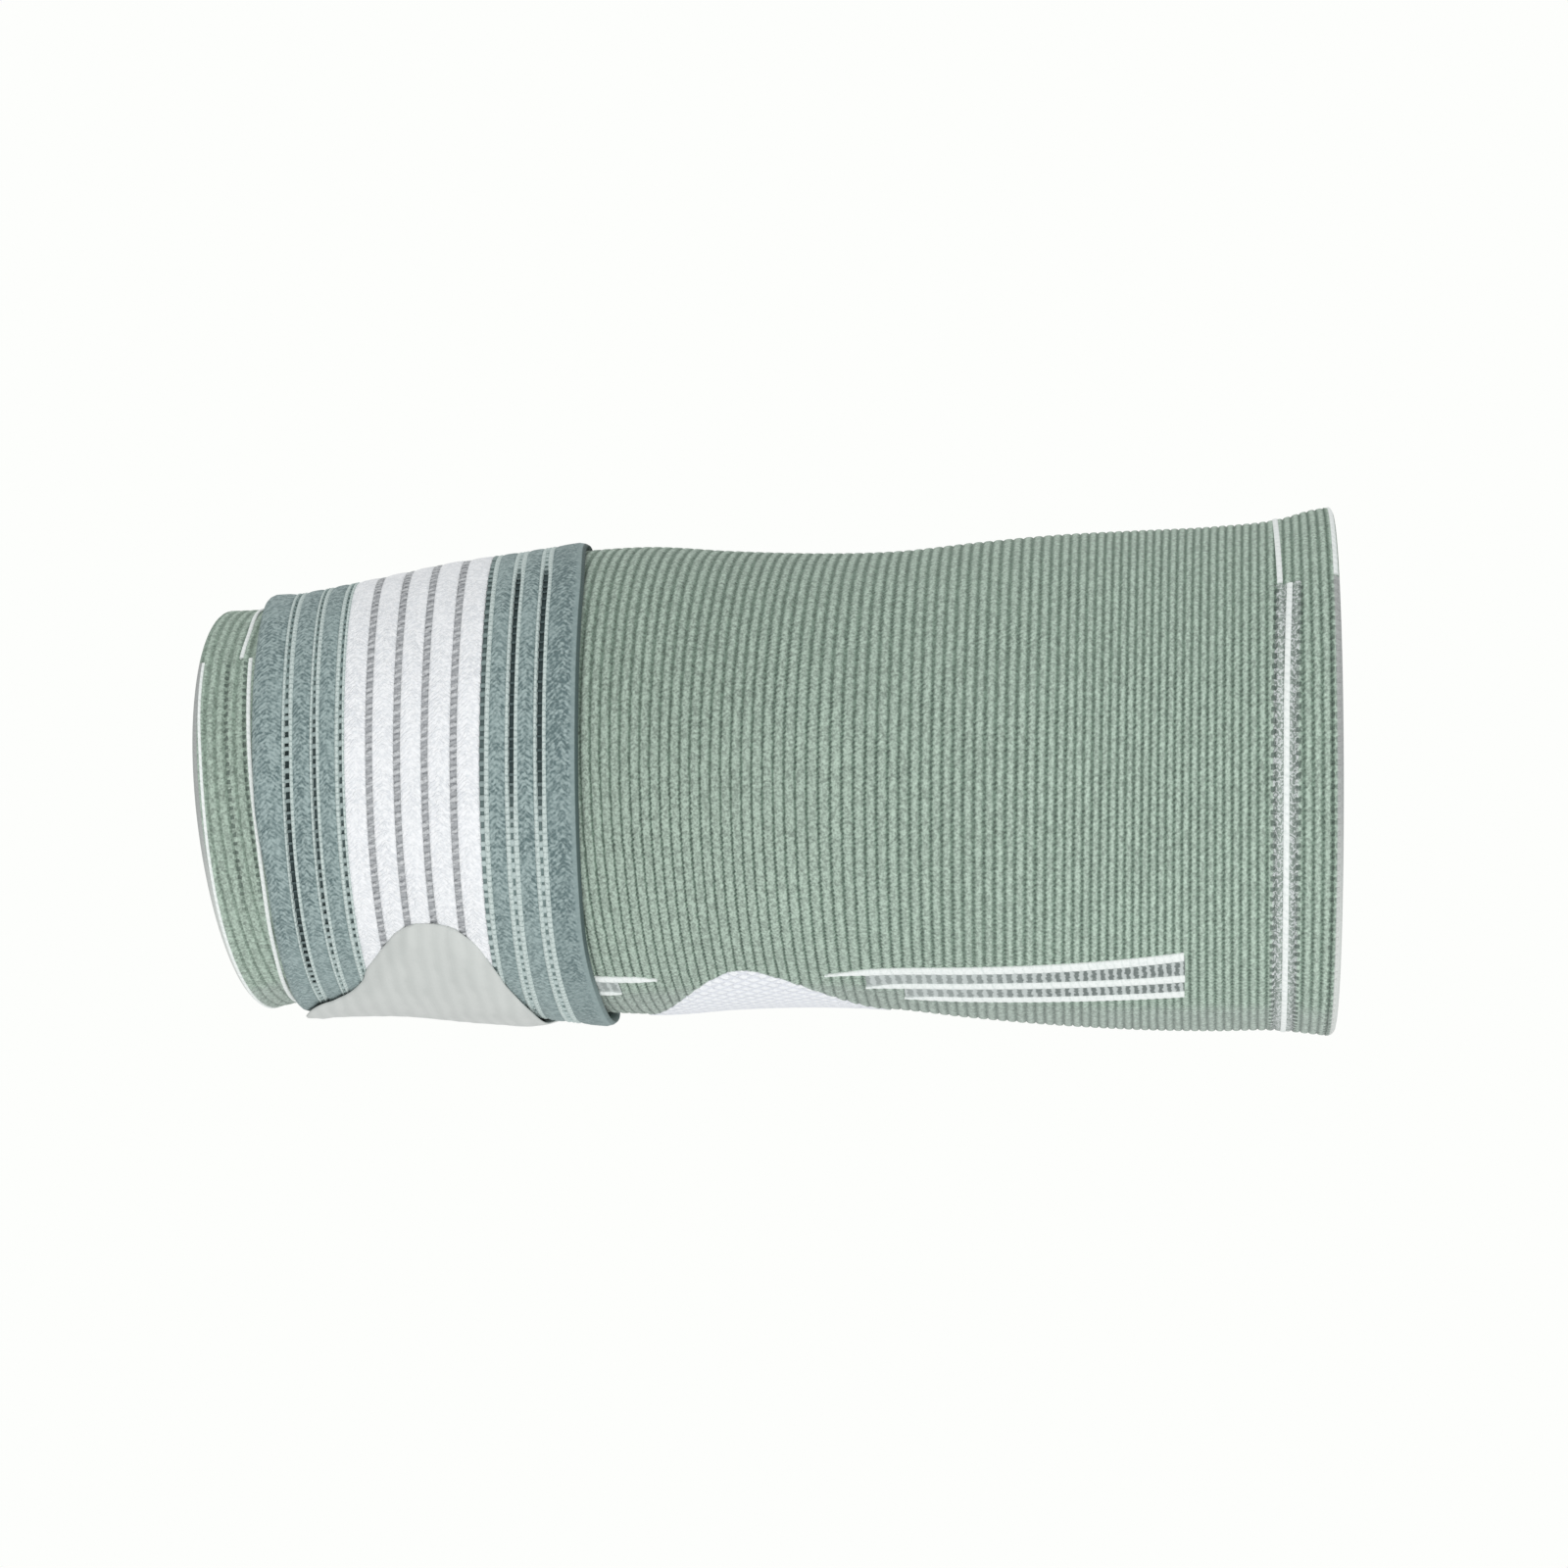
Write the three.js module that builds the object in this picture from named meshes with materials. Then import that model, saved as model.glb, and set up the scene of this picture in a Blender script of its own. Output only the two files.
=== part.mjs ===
// A knitted elbow support in its worn, round form, with an elastic compression strap wound round its lower end.
// Millimetres and degrees. +X runs along the arm to the upper cuff, +Z is up, and the front, where the strap
// is fastened, faces -Y. The origin is the middle of the arm's line, inside the sleeve.
import * as THREE from "three";

// The knitted sleeve
const sleeveLength = 224;
const upperOpeningHeight = 107;
const depthToHeight = 0.95;
const wallThickness = 2.2;
const hemDepth = 11;
const hemThickness = 3;
const rimRounding = 0.8;
const ribDepth = 0.5;
const lowerRibPitch = 2;
const upperRibPitch = 1.65;

// The elastic strap, wound once round the sleeve and then over its own start
const strapWidth = 66;
const strapThickness = 1.6;
const strapMiddle = 41;
const strapFrontShift = 4.7;
const strapTopShift = 1.25;
const strapStartTurn = -127.5;
const strapEndTurn = 247.5;
const riseStartTurn = 195;
const riseEndTurn = 225;
const ladderDepth = 0.35;
const ladderWidth = 2.4;

// The fastening tab: a cloth cover over a hook patch, sewn to the strap's end
const tabTipTurn = 325;
const tabThickness = 0.9;
const hookThickness = 1;
const hookInset = 1;

// Clearances and smoothness
const layerGap = 0.3;
const ribMargin = 1;
const facetTurn = 360 / 22;

// Sections across the sleeve from the lower rim (at 0) to the upper rim (at 1). tall is a share of
// upperOpeningHeight, at, lift (up) and sway (back) are shares of sleeveLength, and the section's plane leans
// and turns by lean and yaw degrees.
const sections = [
  { at: 0, tall: 0.777, lift: -0.028, sway: 0.0325, lean: 5.8, yaw: 4.8 },
  { at: 0.04, tall: 0.765, lift: -0.0226, sway: 0.0285, lean: 5.9, yaw: 4.6 },
  { at: 0.08, tall: 0.774, lift: -0.0175, sway: 0.0255, lean: 5.6, yaw: 4.3 },
  { at: 0.168, tall: 0.809, lift: -0.0086, sway: 0.0185, lean: 4.8, yaw: 4 },
  { at: 0.25, tall: 0.85, lift: -0.0027, sway: 0.0133, lean: 3.6, yaw: 3.4 },
  { at: 0.313, tall: 0.88, lift: -0.0014, sway: 0.0098, lean: 2.8, yaw: 2.8 },
  { at: 0.386, tall: 0.893, lift: 0, sway: 0.0062, lean: 1.6, yaw: 3 },
  { at: 0.458, tall: 0.873, lift: 0, sway: 0.0021, lean: 0.3, yaw: 3.3 },
  { at: 0.531, tall: 0.865, lift: 0, sway: -0.0015, lean: 0, yaw: 2.4 },
  { at: 0.603, tall: 0.875, lift: 0, sway: -0.002, lean: -0.3, yaw: -0.6 },
  { at: 0.676, tall: 0.908, lift: 0, sway: -0.0008, lean: -0.6, yaw: -2 },
  { at: 0.749, tall: 0.934, lift: 0, sway: 0.0015, lean: -0.9, yaw: -2.4 },
  { at: 0.821, tall: 0.948, lift: 0.0001, sway: 0.0042, lean: -0.7, yaw: -1.8 },
  { at: 0.894, tall: 0.955, lift: 0.0015, sway: 0.005, lean: -0.3, yaw: -1 },
  { at: 0.95, tall: 0.965, lift: 0.0045, sway: 0.0052, lean: 0, yaw: -1.2 },
  { at: 0.98, tall: 0.989, lift: 0.0068, sway: 0.0055, lean: 0.2, yaw: -2 },
  { at: 1, tall: 1, lift: 0.0073, sway: 0.0058, lean: 0.2, yaw: -2.7 },
];

// Where the knit tightens from the lower rib pitch to the upper one, as shares of sleeveLength.
const pitchChange = { from: 0.7, to: 0.82 };

// Middles of the strap's sunk ladder lines, as shares of strapWidth from its lower edge.
const ladders = [0.105, 0.19, 0.272, 0.728, 0.81, 0.895];

// Middles of two of the strap's white stripes, also as shares of strapWidth.
const stripeMiddles = [0.42, 0.58];

// The tab's outline: reach is the share of the way from the tip to the strap's end, and left and right are
// shares of strapWidth from its lower edge.
const tabOutline = [
  { reach: 0, left: 0.47, right: 0.56 },
  { reach: 0.015, left: 0.43, right: 0.6 },
  { reach: 0.05, left: 0.385, right: 0.63 },
  { reach: 0.1, left: 0.349, right: 0.658 },
  { reach: 0.224, left: 0.272, right: 0.695 },
  { reach: 0.3, left: 0.2, right: 0.71 },
  { reach: 0.394, left: 0.08, right: 0.743 },
  { reach: 0.526, left: 0.015, right: 0.79 },
  { reach: 0.646, left: 0.004, right: 0.89 },
  { reach: 0.774, left: 0, right: 0.985 },
  { reach: 1, left: 0, right: 1 },
];

const { degToRad, lerp, smoothstep } = THREE.MathUtils;

// All section columns at one distance from the lower rim, on a smooth curve through the table's rows.
const columns = ["tall", "lift", "sway", "lean", "yaw"];
const sectionCurve = new THREE.CubicInterpolant(
  sections.map((row) => row.at),
  sections.flatMap((row) => columns.map((column) => row[column])),
  columns.length,
);

function sectionAt(along) {
  const share = THREE.MathUtils.clamp(along / sleeveLength, 0, 1);
  const values = sectionCurve.evaluate(share);
  return Object.fromEntries(columns.map((column, i) => [column, values[i]]));
}

// A point by its distance from the lower rim, its turn round the arm (0 at the front, 90 on top) and its
// height out from the tops of the sleeve's ribs. Each section is an ellipse in its own leaning plane.
function pointOn(along, turn, height) {
  const { tall, lift, sway, lean, yaw } = sectionAt(along);
  const rise = ((tall * upperOpeningHeight) / 2 + height) * Math.sin(degToRad(turn));
  const front = ((tall * upperOpeningHeight * depthToHeight) / 2 + height) * Math.cos(degToRad(turn));
  return new THREE.Vector3(
    along - sleeveLength / 2 - rise * Math.sin(degToRad(lean)) - front * Math.sin(degToRad(yaw)),
    sway * sleeveLength - front * Math.cos(degToRad(yaw)),
    lift * sleeveLength + rise * Math.cos(degToRad(lean)),
  );
}

// Skins closed loops of points into one solid. Each loop is {outer, inner}, two runs of points in the same
// direction. A ring of loops meets itself, and otherwise each end is capped from its outer to its inner run.
function skin(loops, isRing) {
  const outlines = loops.map(({ outer, inner }) => [...outer, ...[...inner].reverse()]);
  const size = outlines[0].length;
  const corner = (loop, k) => (loop % outlines.length) * size + ((k + size) % size);
  const faces = [];
  const quad = (a, b, c, d) => faces.push(a, b, c, a, c, d);
  const spans = isRing ? outlines.length : outlines.length - 1;
  for (let loop = 0; loop < spans; loop++)
    for (let k = 0; k < size; k++)
      quad(corner(loop, k), corner(loop, k + 1), corner(loop + 1, k + 1), corner(loop + 1, k));
  if (!isRing) {
    const last = outlines.length - 1;
    for (let k = 0; k < size / 2 - 1; k++) {
      quad(corner(0, k), corner(0, -1 - k), corner(0, -2 - k), corner(0, k + 1));
      quad(corner(last, k + 1), corner(last, -2 - k), corner(last, -1 - k), corner(last, k));
    }
  }
  const geometry = new THREE.BufferGeometry();
  geometry.setFromPoints(outlines.flat());
  geometry.setIndex(faces);
  geometry.computeVertexNormals();
  return geometry;
}

// The turns of the facets between two turns, with the two ends and any extra turns.
function turnsBetween(from, to, extra = []) {
  const turns = [from, to, ...extra];
  for (let turn = Math.ceil(from / facetTurn) * facetTurn; turn < to; turn += facetTurn)
    if (turns.every((other) => Math.abs(other - turn) > 1)) turns.push(turn);
  return turns.sort((a, b) => a - b);
}

// The strap's middle line wanders a little along the arm as it goes round.
function strapEdge(turn, share) {
  const middle =
    strapMiddle + strapFrontShift * Math.cos(degToRad(turn)) + strapTopShift * Math.sin(degToRad(turn));
  return middle + (share - 0.5) * strapWidth;
}

// The knit: rib tops at full height with a groove on each side, and plain where the strap covers it.
function ribLine() {
  const strapDrift = Math.hypot(strapFrontShift, strapTopShift);
  const coveredFrom = strapMiddle - strapWidth / 2 + strapDrift + ribMargin;
  const coveredTo = strapMiddle + strapWidth / 2 - strapDrift - ribMargin;
  const line = [
    { along: 0, height: -rimRounding },
    { along: rimRounding / 2, height: 0 },
  ];
  let groove = rimRounding + lowerRibPitch / 2;
  while (groove < sleeveLength - rimRounding - upperRibPitch / 2) {
    const change = smoothstep(groove / sleeveLength, pitchChange.from, pitchChange.to);
    const pitch = lerp(lowerRibPitch, upperRibPitch, change);
    if (groove < coveredFrom || groove > coveredTo) {
      line.push({ along: groove, height: -ribDepth });
      line.push({ along: groove + pitch / 2, height: 0 });
    }
    groove += pitch;
  }
  line[line.length - 1].along = Math.min(line[line.length - 1].along, sleeveLength - rimRounding);
  line.push({ along: sleeveLength, height: -rimRounding });
  for (const { at } of sections) {
    const along = at * sleeveLength;
    if (along > coveredFrom + lowerRibPitch && along < coveredTo) line.push({ along, height: 0 });
  }
  return line.sort((a, b) => a.along - b.along);
}

// The inside: the wall's inner face, which steps in where each hem is turned back on itself.
function insideLine() {
  const line = [
    { along: 0, height: -hemThickness + rimRounding },
    { along: rimRounding, height: -hemThickness },
    { along: hemDepth, height: -hemThickness },
    { along: hemDepth + hemThickness - wallThickness, height: -wallThickness },
  ];
  const upperHem = sleeveLength - hemDepth;
  const isClear = (along) => along > hemDepth + hemThickness && along < upperHem - hemThickness;
  const everyOther = sections.filter((row, i) => i % 2 === 1);
  for (const { at } of everyOther)
    if (isClear(at * sleeveLength)) line.push({ along: at * sleeveLength, height: -wallThickness });
  line.push({ along: upperHem - hemThickness + wallThickness, height: -wallThickness });
  line.push({ along: upperHem, height: -hemThickness });
  line.push({ along: sleeveLength - rimRounding, height: -hemThickness });
  line.push({ along: sleeveLength, height: -hemThickness + rimRounding });
  return line;
}

function sleeveGeometry() {
  const outside = ribLine();
  const inside = insideLine();
  const loops = [];
  for (let turn = 0; turn < 360; turn += facetTurn) {
    const points = (line) => line.map(({ along, height }) => pointOn(along, turn, height));
    loops.push({ outer: points(outside), inner: points(inside) });
  }
  return skin(loops, true);
}

// A band's section across its width, as shares of strapWidth with heights from its underside. The edges are
// rounded off, and each ladder line is a shallow trough.
function strapSection() {
  const edge = strapThickness / 2 / strapWidth;
  const section = [
    { share: 0, height: strapThickness / 2 },
    { share: edge, height: strapThickness },
  ];
  for (const middle of ladders) {
    const half = ladderWidth / 2 / strapWidth;
    section.push({ share: middle - half, height: strapThickness });
    section.push({ share: middle, height: strapThickness - ladderDepth });
    section.push({ share: middle + half, height: strapThickness });
  }
  for (const share of stripeMiddles) section.push({ share, height: strapThickness });
  section.push({ share: 1 - edge, height: strapThickness });
  section.push({ share: 1, height: strapThickness / 2 });
  return section.sort((a, b) => a.share - b.share);
}

// How far the strap is lifted: on the sleeve at first, then up over its own start.
function strapLift(turn) {
  return layerGap + (strapThickness + layerGap) * smoothstep(turn, riseStartTurn, riseEndTurn);
}

function strapGeometry() {
  const section = strapSection();
  const loops = turnsBetween(strapStartTurn, strapEndTurn).map((turn) => ({
    outer: section.map(({ share, height }) =>
      pointOn(strapEdge(turn, share), turn, strapLift(turn) + height),
    ),
    inner: section.map(({ share }) => pointOn(strapEdge(turn, share), turn, strapLift(turn))),
  }));
  return skin(loops, false);
}

// The tab's left and right edges at a reach, as shares of strapWidth.
function tabEdges(reach) {
  const next = Math.max(
    1,
    tabOutline.findIndex((row) => row.reach >= reach),
  );
  const [a, b] = [tabOutline[next - 1], tabOutline[next]];
  const step = (reach - a.reach) / (b.reach - a.reach);
  return { left: lerp(a.left, b.left, step), right: lerp(a.right, b.right, step) };
}

// One layer of the tab, lying on the strap, with its edge set in from the tab's outline by inset.
function tabLayerGeometry(floor, thickness, inset) {
  const meanRadius = (sectionAt(strapMiddle).tall * upperOpeningHeight) / 2;
  const turnFor = (distance) => THREE.MathUtils.radToDeg(distance / meanRadius);
  const base = strapEndTurn + turnFor(layerGap);
  const tip = tabTipTurn - turnFor(inset);
  const reachOf = (turn) => (tabTipTurn - turn) / (tabTipTurn - strapEndTurn);
  const tableTurns = tabOutline
    .map(({ reach }) => tabTipTurn - reach * (tabTipTurn - strapEndTurn))
    .filter((turn) => turn > base + 1 && turn < tip);
  const loops = turnsBetween(base, tip, tableTurns).map((turn) => {
    const { left, right } = tabEdges(reachOf(turn));
    const shares = [0, 1 / 3, 2 / 3, 1].map((part) =>
      lerp(left + inset / strapWidth, right - inset / strapWidth, part),
    );
    const run = (height) => shares.map((share) => pointOn(strapEdge(turn, share), turn, height));
    return { outer: run(floor + thickness), inner: run(floor) };
  });
  return skin(loops, false);
}

function piece(name, geometry, color, roughness) {
  const material = new THREE.MeshStandardMaterial({ color, roughness, metalness: 0 });
  const mesh = new THREE.Mesh(geometry, material);
  mesh.name = name;
  return mesh;
}

const strapTop = layerGap + strapThickness;
const hookFloor = strapTop + layerGap;
const tabFloor = hookFloor + hookThickness + layerGap;

const support = new THREE.Group();
support.add(
  piece("sleeve", sleeveGeometry(), 0x93a699, 0.9),
  piece("compression_strap", strapGeometry(), 0x869997, 0.8),
  piece("hook_patch", tabLayerGeometry(hookFloor, hookThickness, hookInset), 0x8d9492, 0.7),
  piece("fastening_tab", tabLayerGeometry(tabFloor, tabThickness, 0), 0xcacfcc, 0.5),
);

export default support;
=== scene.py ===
"""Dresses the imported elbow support: a ribbed knit sleeve, an elastic strap, a hook patch and a satin tab.

Sizes are in millimetres and turns in degrees round the arm, 0 at the front and 90 on top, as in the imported
model. They become metres only where a mesh's points are made.
"""

from __future__ import annotations

import logging
import math
from dataclasses import dataclass
from enum import Enum
from typing import ClassVar

import bpy
import numpy as np
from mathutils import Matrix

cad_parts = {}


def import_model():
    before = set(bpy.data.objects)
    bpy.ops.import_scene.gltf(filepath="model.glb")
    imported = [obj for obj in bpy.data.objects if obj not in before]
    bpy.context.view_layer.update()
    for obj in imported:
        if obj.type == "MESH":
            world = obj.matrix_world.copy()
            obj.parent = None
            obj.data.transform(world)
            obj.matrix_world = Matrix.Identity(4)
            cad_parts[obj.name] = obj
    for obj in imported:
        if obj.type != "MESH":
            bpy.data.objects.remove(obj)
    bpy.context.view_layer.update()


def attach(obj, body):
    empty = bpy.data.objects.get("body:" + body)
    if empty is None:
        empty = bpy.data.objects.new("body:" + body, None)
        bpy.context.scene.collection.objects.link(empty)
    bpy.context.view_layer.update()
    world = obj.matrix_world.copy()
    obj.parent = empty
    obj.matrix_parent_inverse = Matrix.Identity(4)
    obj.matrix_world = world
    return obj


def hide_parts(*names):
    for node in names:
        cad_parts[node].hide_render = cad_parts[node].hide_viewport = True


log = logging.getLogger("elbow_support")

Array = np.ndarray
Colour = tuple[float, float, float]
FIRST_TURN = -270.0  # a full turn of cloth runs from the top, down the back and up the front to the top
JOG_TURN = 46.4  # where the knitting starts each round, so lines knitted in step sideways there
LOWEST_TURN = -90.0  # the underside's middle line, about which the white field and its stripes are mirrored
RING = np.radians([30.0, 90.0, 150.0, 210.0, 270.0, 330.0])  # the places round a thread, which is six-sided


def linear(red: float, green: float, blue: float) -> Colour:
    """The linear colour of red, green and blue from 0 to 255 as a screen shows them."""
    shares = np.array([red, green, blue]) / 255.0
    values = np.where(shares > 0.04045, ((shares + 0.055) / 1.055) ** 2.4, shares / 12.92)
    return tuple(float(value) for value in values)


def rise(value: Array, low: float, high: float) -> Array:
    """0 below low, 1 above high, and 3t^2 - 2t^3 of the share t between them."""
    t = np.clip((value - low) / (high - low), 0.0, 1.0)
    return t * t * (3.0 - 2.0 * t)


def bump(value: Array, middle: float, reach: float) -> Array:
    """A smooth hill of height 1 at middle that falls to 0 at a distance of reach."""
    return 1.0 - rise(np.abs(value - middle), 0.0, reach)


def pair(first: Array, second: Array) -> Array:
    """Two numbers for each place, as a UV map keeps them."""
    return np.stack(np.broadcast_arrays(first, second), axis=-1)


def band_section(places: int) -> tuple[Array, Array]:
    """A narrow band's section: from -1 to 1 over its top and back underneath, and which places are on top."""
    over = np.linspace(-1.0, 1.0, places)
    return np.concatenate([over, over[::-1]])[None, :], np.repeat([True, False], places)[None, :]


def through(stations: Array, values: Array, at: Array) -> Array:
    """A smooth curve through a table's rows.

    Each span is a cubic whose slope at a row is the mean of the two spans that meet there.

    Args:
        stations: Where the rows stand, rising.
        values: One value, or one row of values, for each station.
        at: Where the curve is wanted.

    Returns:
        The values there, with the shape of at and then that of a row.
    """
    table = values.reshape(len(stations), -1)
    slopes = np.diff(table, axis=0) / np.diff(stations)[:, None]
    tangents = np.vstack([slopes[:1], (slopes[1:] + slopes[:-1]) / 2, slopes[-1:]])
    at = np.clip(at, stations[0], stations[-1])
    i = np.clip(np.searchsorted(stations, at, side="right") - 1, 0, len(stations) - 2)
    step = (stations[i + 1] - stations[i])[..., None]
    t = (at[..., None] - stations[i][..., None]) / step
    start = (2 * t**3 - 3 * t**2 + 1) * table[i] + (t**3 - 2 * t**2 + t) * step * tangents[i]
    end = (3 * t**2 - 2 * t**3) * table[i + 1] + (t**3 - t**2) * step * tangents[i + 1]
    return (start + end).reshape(at.shape + values.shape[1:])


@dataclass(frozen=True)
class Section:
    """A section across the sleeve. Sizes are shares, and lean and yaw are degrees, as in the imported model."""

    at: float
    tall: float
    lift: float
    sway: float
    lean: float
    yaw: float


SECTIONS = (
    Section(0.000, 0.777, -0.0280, 0.0325, 5.8, 4.8),
    Section(0.040, 0.765, -0.0226, 0.0285, 5.9, 4.6),
    Section(0.080, 0.774, -0.0175, 0.0255, 5.6, 4.3),
    Section(0.168, 0.809, -0.0086, 0.0185, 4.8, 4.0),
    Section(0.250, 0.850, -0.0027, 0.0133, 3.6, 3.4),
    Section(0.313, 0.880, -0.0014, 0.0098, 2.8, 2.8),
    Section(0.386, 0.893, 0.0000, 0.0062, 1.6, 3.0),
    Section(0.458, 0.873, 0.0000, 0.0021, 0.3, 3.3),
    Section(0.531, 0.865, 0.0000, -0.0015, 0.0, 2.4),
    Section(0.603, 0.875, 0.0000, -0.0020, -0.3, -0.6),
    Section(0.676, 0.908, 0.0000, -0.0008, -0.6, -2.0),
    Section(0.749, 0.934, 0.0000, 0.0015, -0.9, -2.4),
    Section(0.821, 0.948, 0.0001, 0.0042, -0.7, -1.8),
    Section(0.894, 0.955, 0.0015, 0.0050, -0.3, -1.0),
    Section(0.950, 0.965, 0.0045, 0.0052, 0.0, -1.2),
    Section(0.980, 0.989, 0.0068, 0.0055, 0.2, -2.0),
    Section(1.000, 1.000, 0.0073, 0.0058, 0.2, -2.7),
)


@dataclass(frozen=True)
class ArmForm:
    """The form that an arm gives the cloth: leaning ellipses along a nearly straight line."""

    length: float = 224.0
    upper_height: float = 107.0
    depth_share: float = 0.95

    def point(self, along: Array, turn: Array, height: Array) -> Array:
        """Points on the form, in metres.

        A section's ellipse has a half height of tall times the upper height, and a half depth of depth_share
        of that. Both grow by height, and the ellipse leans and yaws in its own plane. A slow ripple of a few
        tenths of a millimetre keeps the cloth from looking turned on a lathe.

        Args:
            along: Distance from the lower rim.
            turn: Turn round the arm.
            height: Distance out from the tops of the sleeve's ribs.

        Returns:
            The points, with X, Y and Z last.
        """
        along, turn, height = np.broadcast_arrays(along, turn, height)
        angle = np.radians(turn)
        ripple = 0.16 * np.sin(2 * angle + along / 19.0) + 0.07 * np.sin(5 * angle - along / 9.0)
        sections = np.array([[s.tall, s.lift, s.sway, s.lean, s.yaw] for s in SECTIONS])
        values = through(np.array([s.at for s in SECTIONS]), sections, along / self.length)
        tall, lift, sway = values[..., 0], values[..., 1], values[..., 2]
        lean, yaw = np.radians(values[..., 3]), np.radians(values[..., 4])
        up = (tall * self.upper_height / 2 + height + ripple) * np.sin(angle)
        front = (tall * self.upper_height * self.depth_share / 2 + height + ripple) * np.cos(angle)
        x = along - self.length / 2 - up * np.sin(lean) - front * np.sin(yaw)
        y = sway * self.length - front * np.cos(yaw)
        z = lift * self.length + up * np.cos(lean)
        return np.stack([x, y, z], axis=-1) / 1000.0


@dataclass(frozen=True)
class RibGauge:
    """How far apart the sleeve's ribs are: one pitch near the hand, easing to a finer one above the elbow."""

    lower_pitch: float = 2.0
    upper_pitch: float = 1.65
    ease_from: float = 0.7
    ease_to: float = 0.82
    first: float = 0.8

    def grooves(self, length: float) -> Array:
        """Where the grooves between ribs are, from the lower rim to the upper one."""
        found = [self.first]
        while found[-1] < length + self.lower_pitch:
            change = float(rise(np.array(found[-1] / length), self.ease_from, self.ease_to))
            found.append(found[-1] + self.lower_pitch + (self.upper_pitch - self.lower_pitch) * change)
        return np.array([found[0] - self.lower_pitch, *found])

    def count(self, along: Array, length: float) -> Array:
        """Ribs counted from the lower rim: a whole number in each groove, and a half on each rib's top."""
        grooves = self.grooves(length)
        return np.interp(along, grooves, np.arange(len(grooves)))


@dataclass(frozen=True)
class WhiteField:
    """The white, ribless field in the bend of the elbow, the same on both sides of its middle line."""

    peak_along: float = 107.5
    peak_turn: float = -55.2
    lower_fall: float = 0.205
    upper_fall: float = 0.175
    power: float = 1.6
    mm_per_degree: float = 0.83

    def depth(self, along: Array, turn: Array) -> Array:
        """How far inside the field's edge a place is, in millimetres.

        The edge is a bell: its turn falls from the peak by a share of a power of the distance along the
        arm, and the far side mirrors it about the underside's middle line.
        """
        off = along - self.peak_along
        fall = np.where(off < 0, self.lower_fall, self.upper_fall) * np.abs(off) ** self.power
        mirrored = np.abs(turn - LOWEST_TURN) + LOWEST_TURN
        return (self.peak_turn - fall - mirrored) * self.mm_per_degree


FORM = ArmForm()
GAUGE = RibGauge()
WHITE_FIELD = WhiteField()


class Field:
    """A number that varies over a surface, kept as the output of a shader node; the usual signs join two."""

    def __init__(self, tree: bpy.types.NodeTree, socket: bpy.types.NodeSocket) -> None:
        """Keeps the node tree and the socket that the number comes out of."""
        self.tree = tree
        self.socket = socket

    def join(self, operation: str, *others: Field | float) -> Field:
        """A Math node of this number and the others."""
        node = self.tree.nodes.new("ShaderNodeMath")
        node.operation = operation
        for slot, value in zip(node.inputs, (self, *others)):
            if isinstance(value, Field):
                self.tree.links.new(value.socket, slot)
            else:
                slot.default_value = value
        return Field(self.tree, node.outputs[0])

    def __add__(self, other: Field | float) -> Field:
        """This and the other added."""
        return self.join("ADD", other)

    def __sub__(self, other: Field | float) -> Field:
        """This less the other."""
        return self.join("SUBTRACT", other)

    def __mul__(self, other: Field | float) -> Field:
        """This times the other."""
        return self.join("MULTIPLY", other)

    def fract(self) -> Field:
        """What is left of this above its whole number."""
        return self.join("FRACT")

    def size(self) -> Field:
        """This without its sign."""
        return self.join("ABSOLUTE")

    def most(self, other: Field | float) -> Field:
        """The larger of this and the other."""
        return self.join("MAXIMUM", other)

    def fold(self) -> Field:
        """1 at each whole number, 0 half way between two, and straight lines from one to the next."""
        return (self.fract() * 2.0 - 1.0).size()

    def rise(self, low: float, high: float) -> Field:
        """0 below low, 1 above high, and smooth between them."""
        node = self.tree.nodes.new("ShaderNodeMapRange")
        node.interpolation_type = "SMOOTHSTEP"
        self.tree.links.new(self.socket, node.inputs["Value"])
        node.inputs["From Min"].default_value = low
        node.inputs["From Max"].default_value = high
        return Field(self.tree, node.outputs["Result"])

    def near(self, middle: float, reach: float, soft: float) -> Field:
        """1 within reach of middle, and smoothly 0 beyond it by soft."""
        return (self - middle).size().rise(reach, reach + soft).inverse()

    def inverse(self) -> Field:
        """1 less this."""
        return self * -1.0 + 1.0

    def mirrored(self) -> Field:
        """This turn, with one past the underside's middle line counted as its mirror image in front."""
        return (self - LOWEST_TURN).size() + LOWEST_TURN


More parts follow.
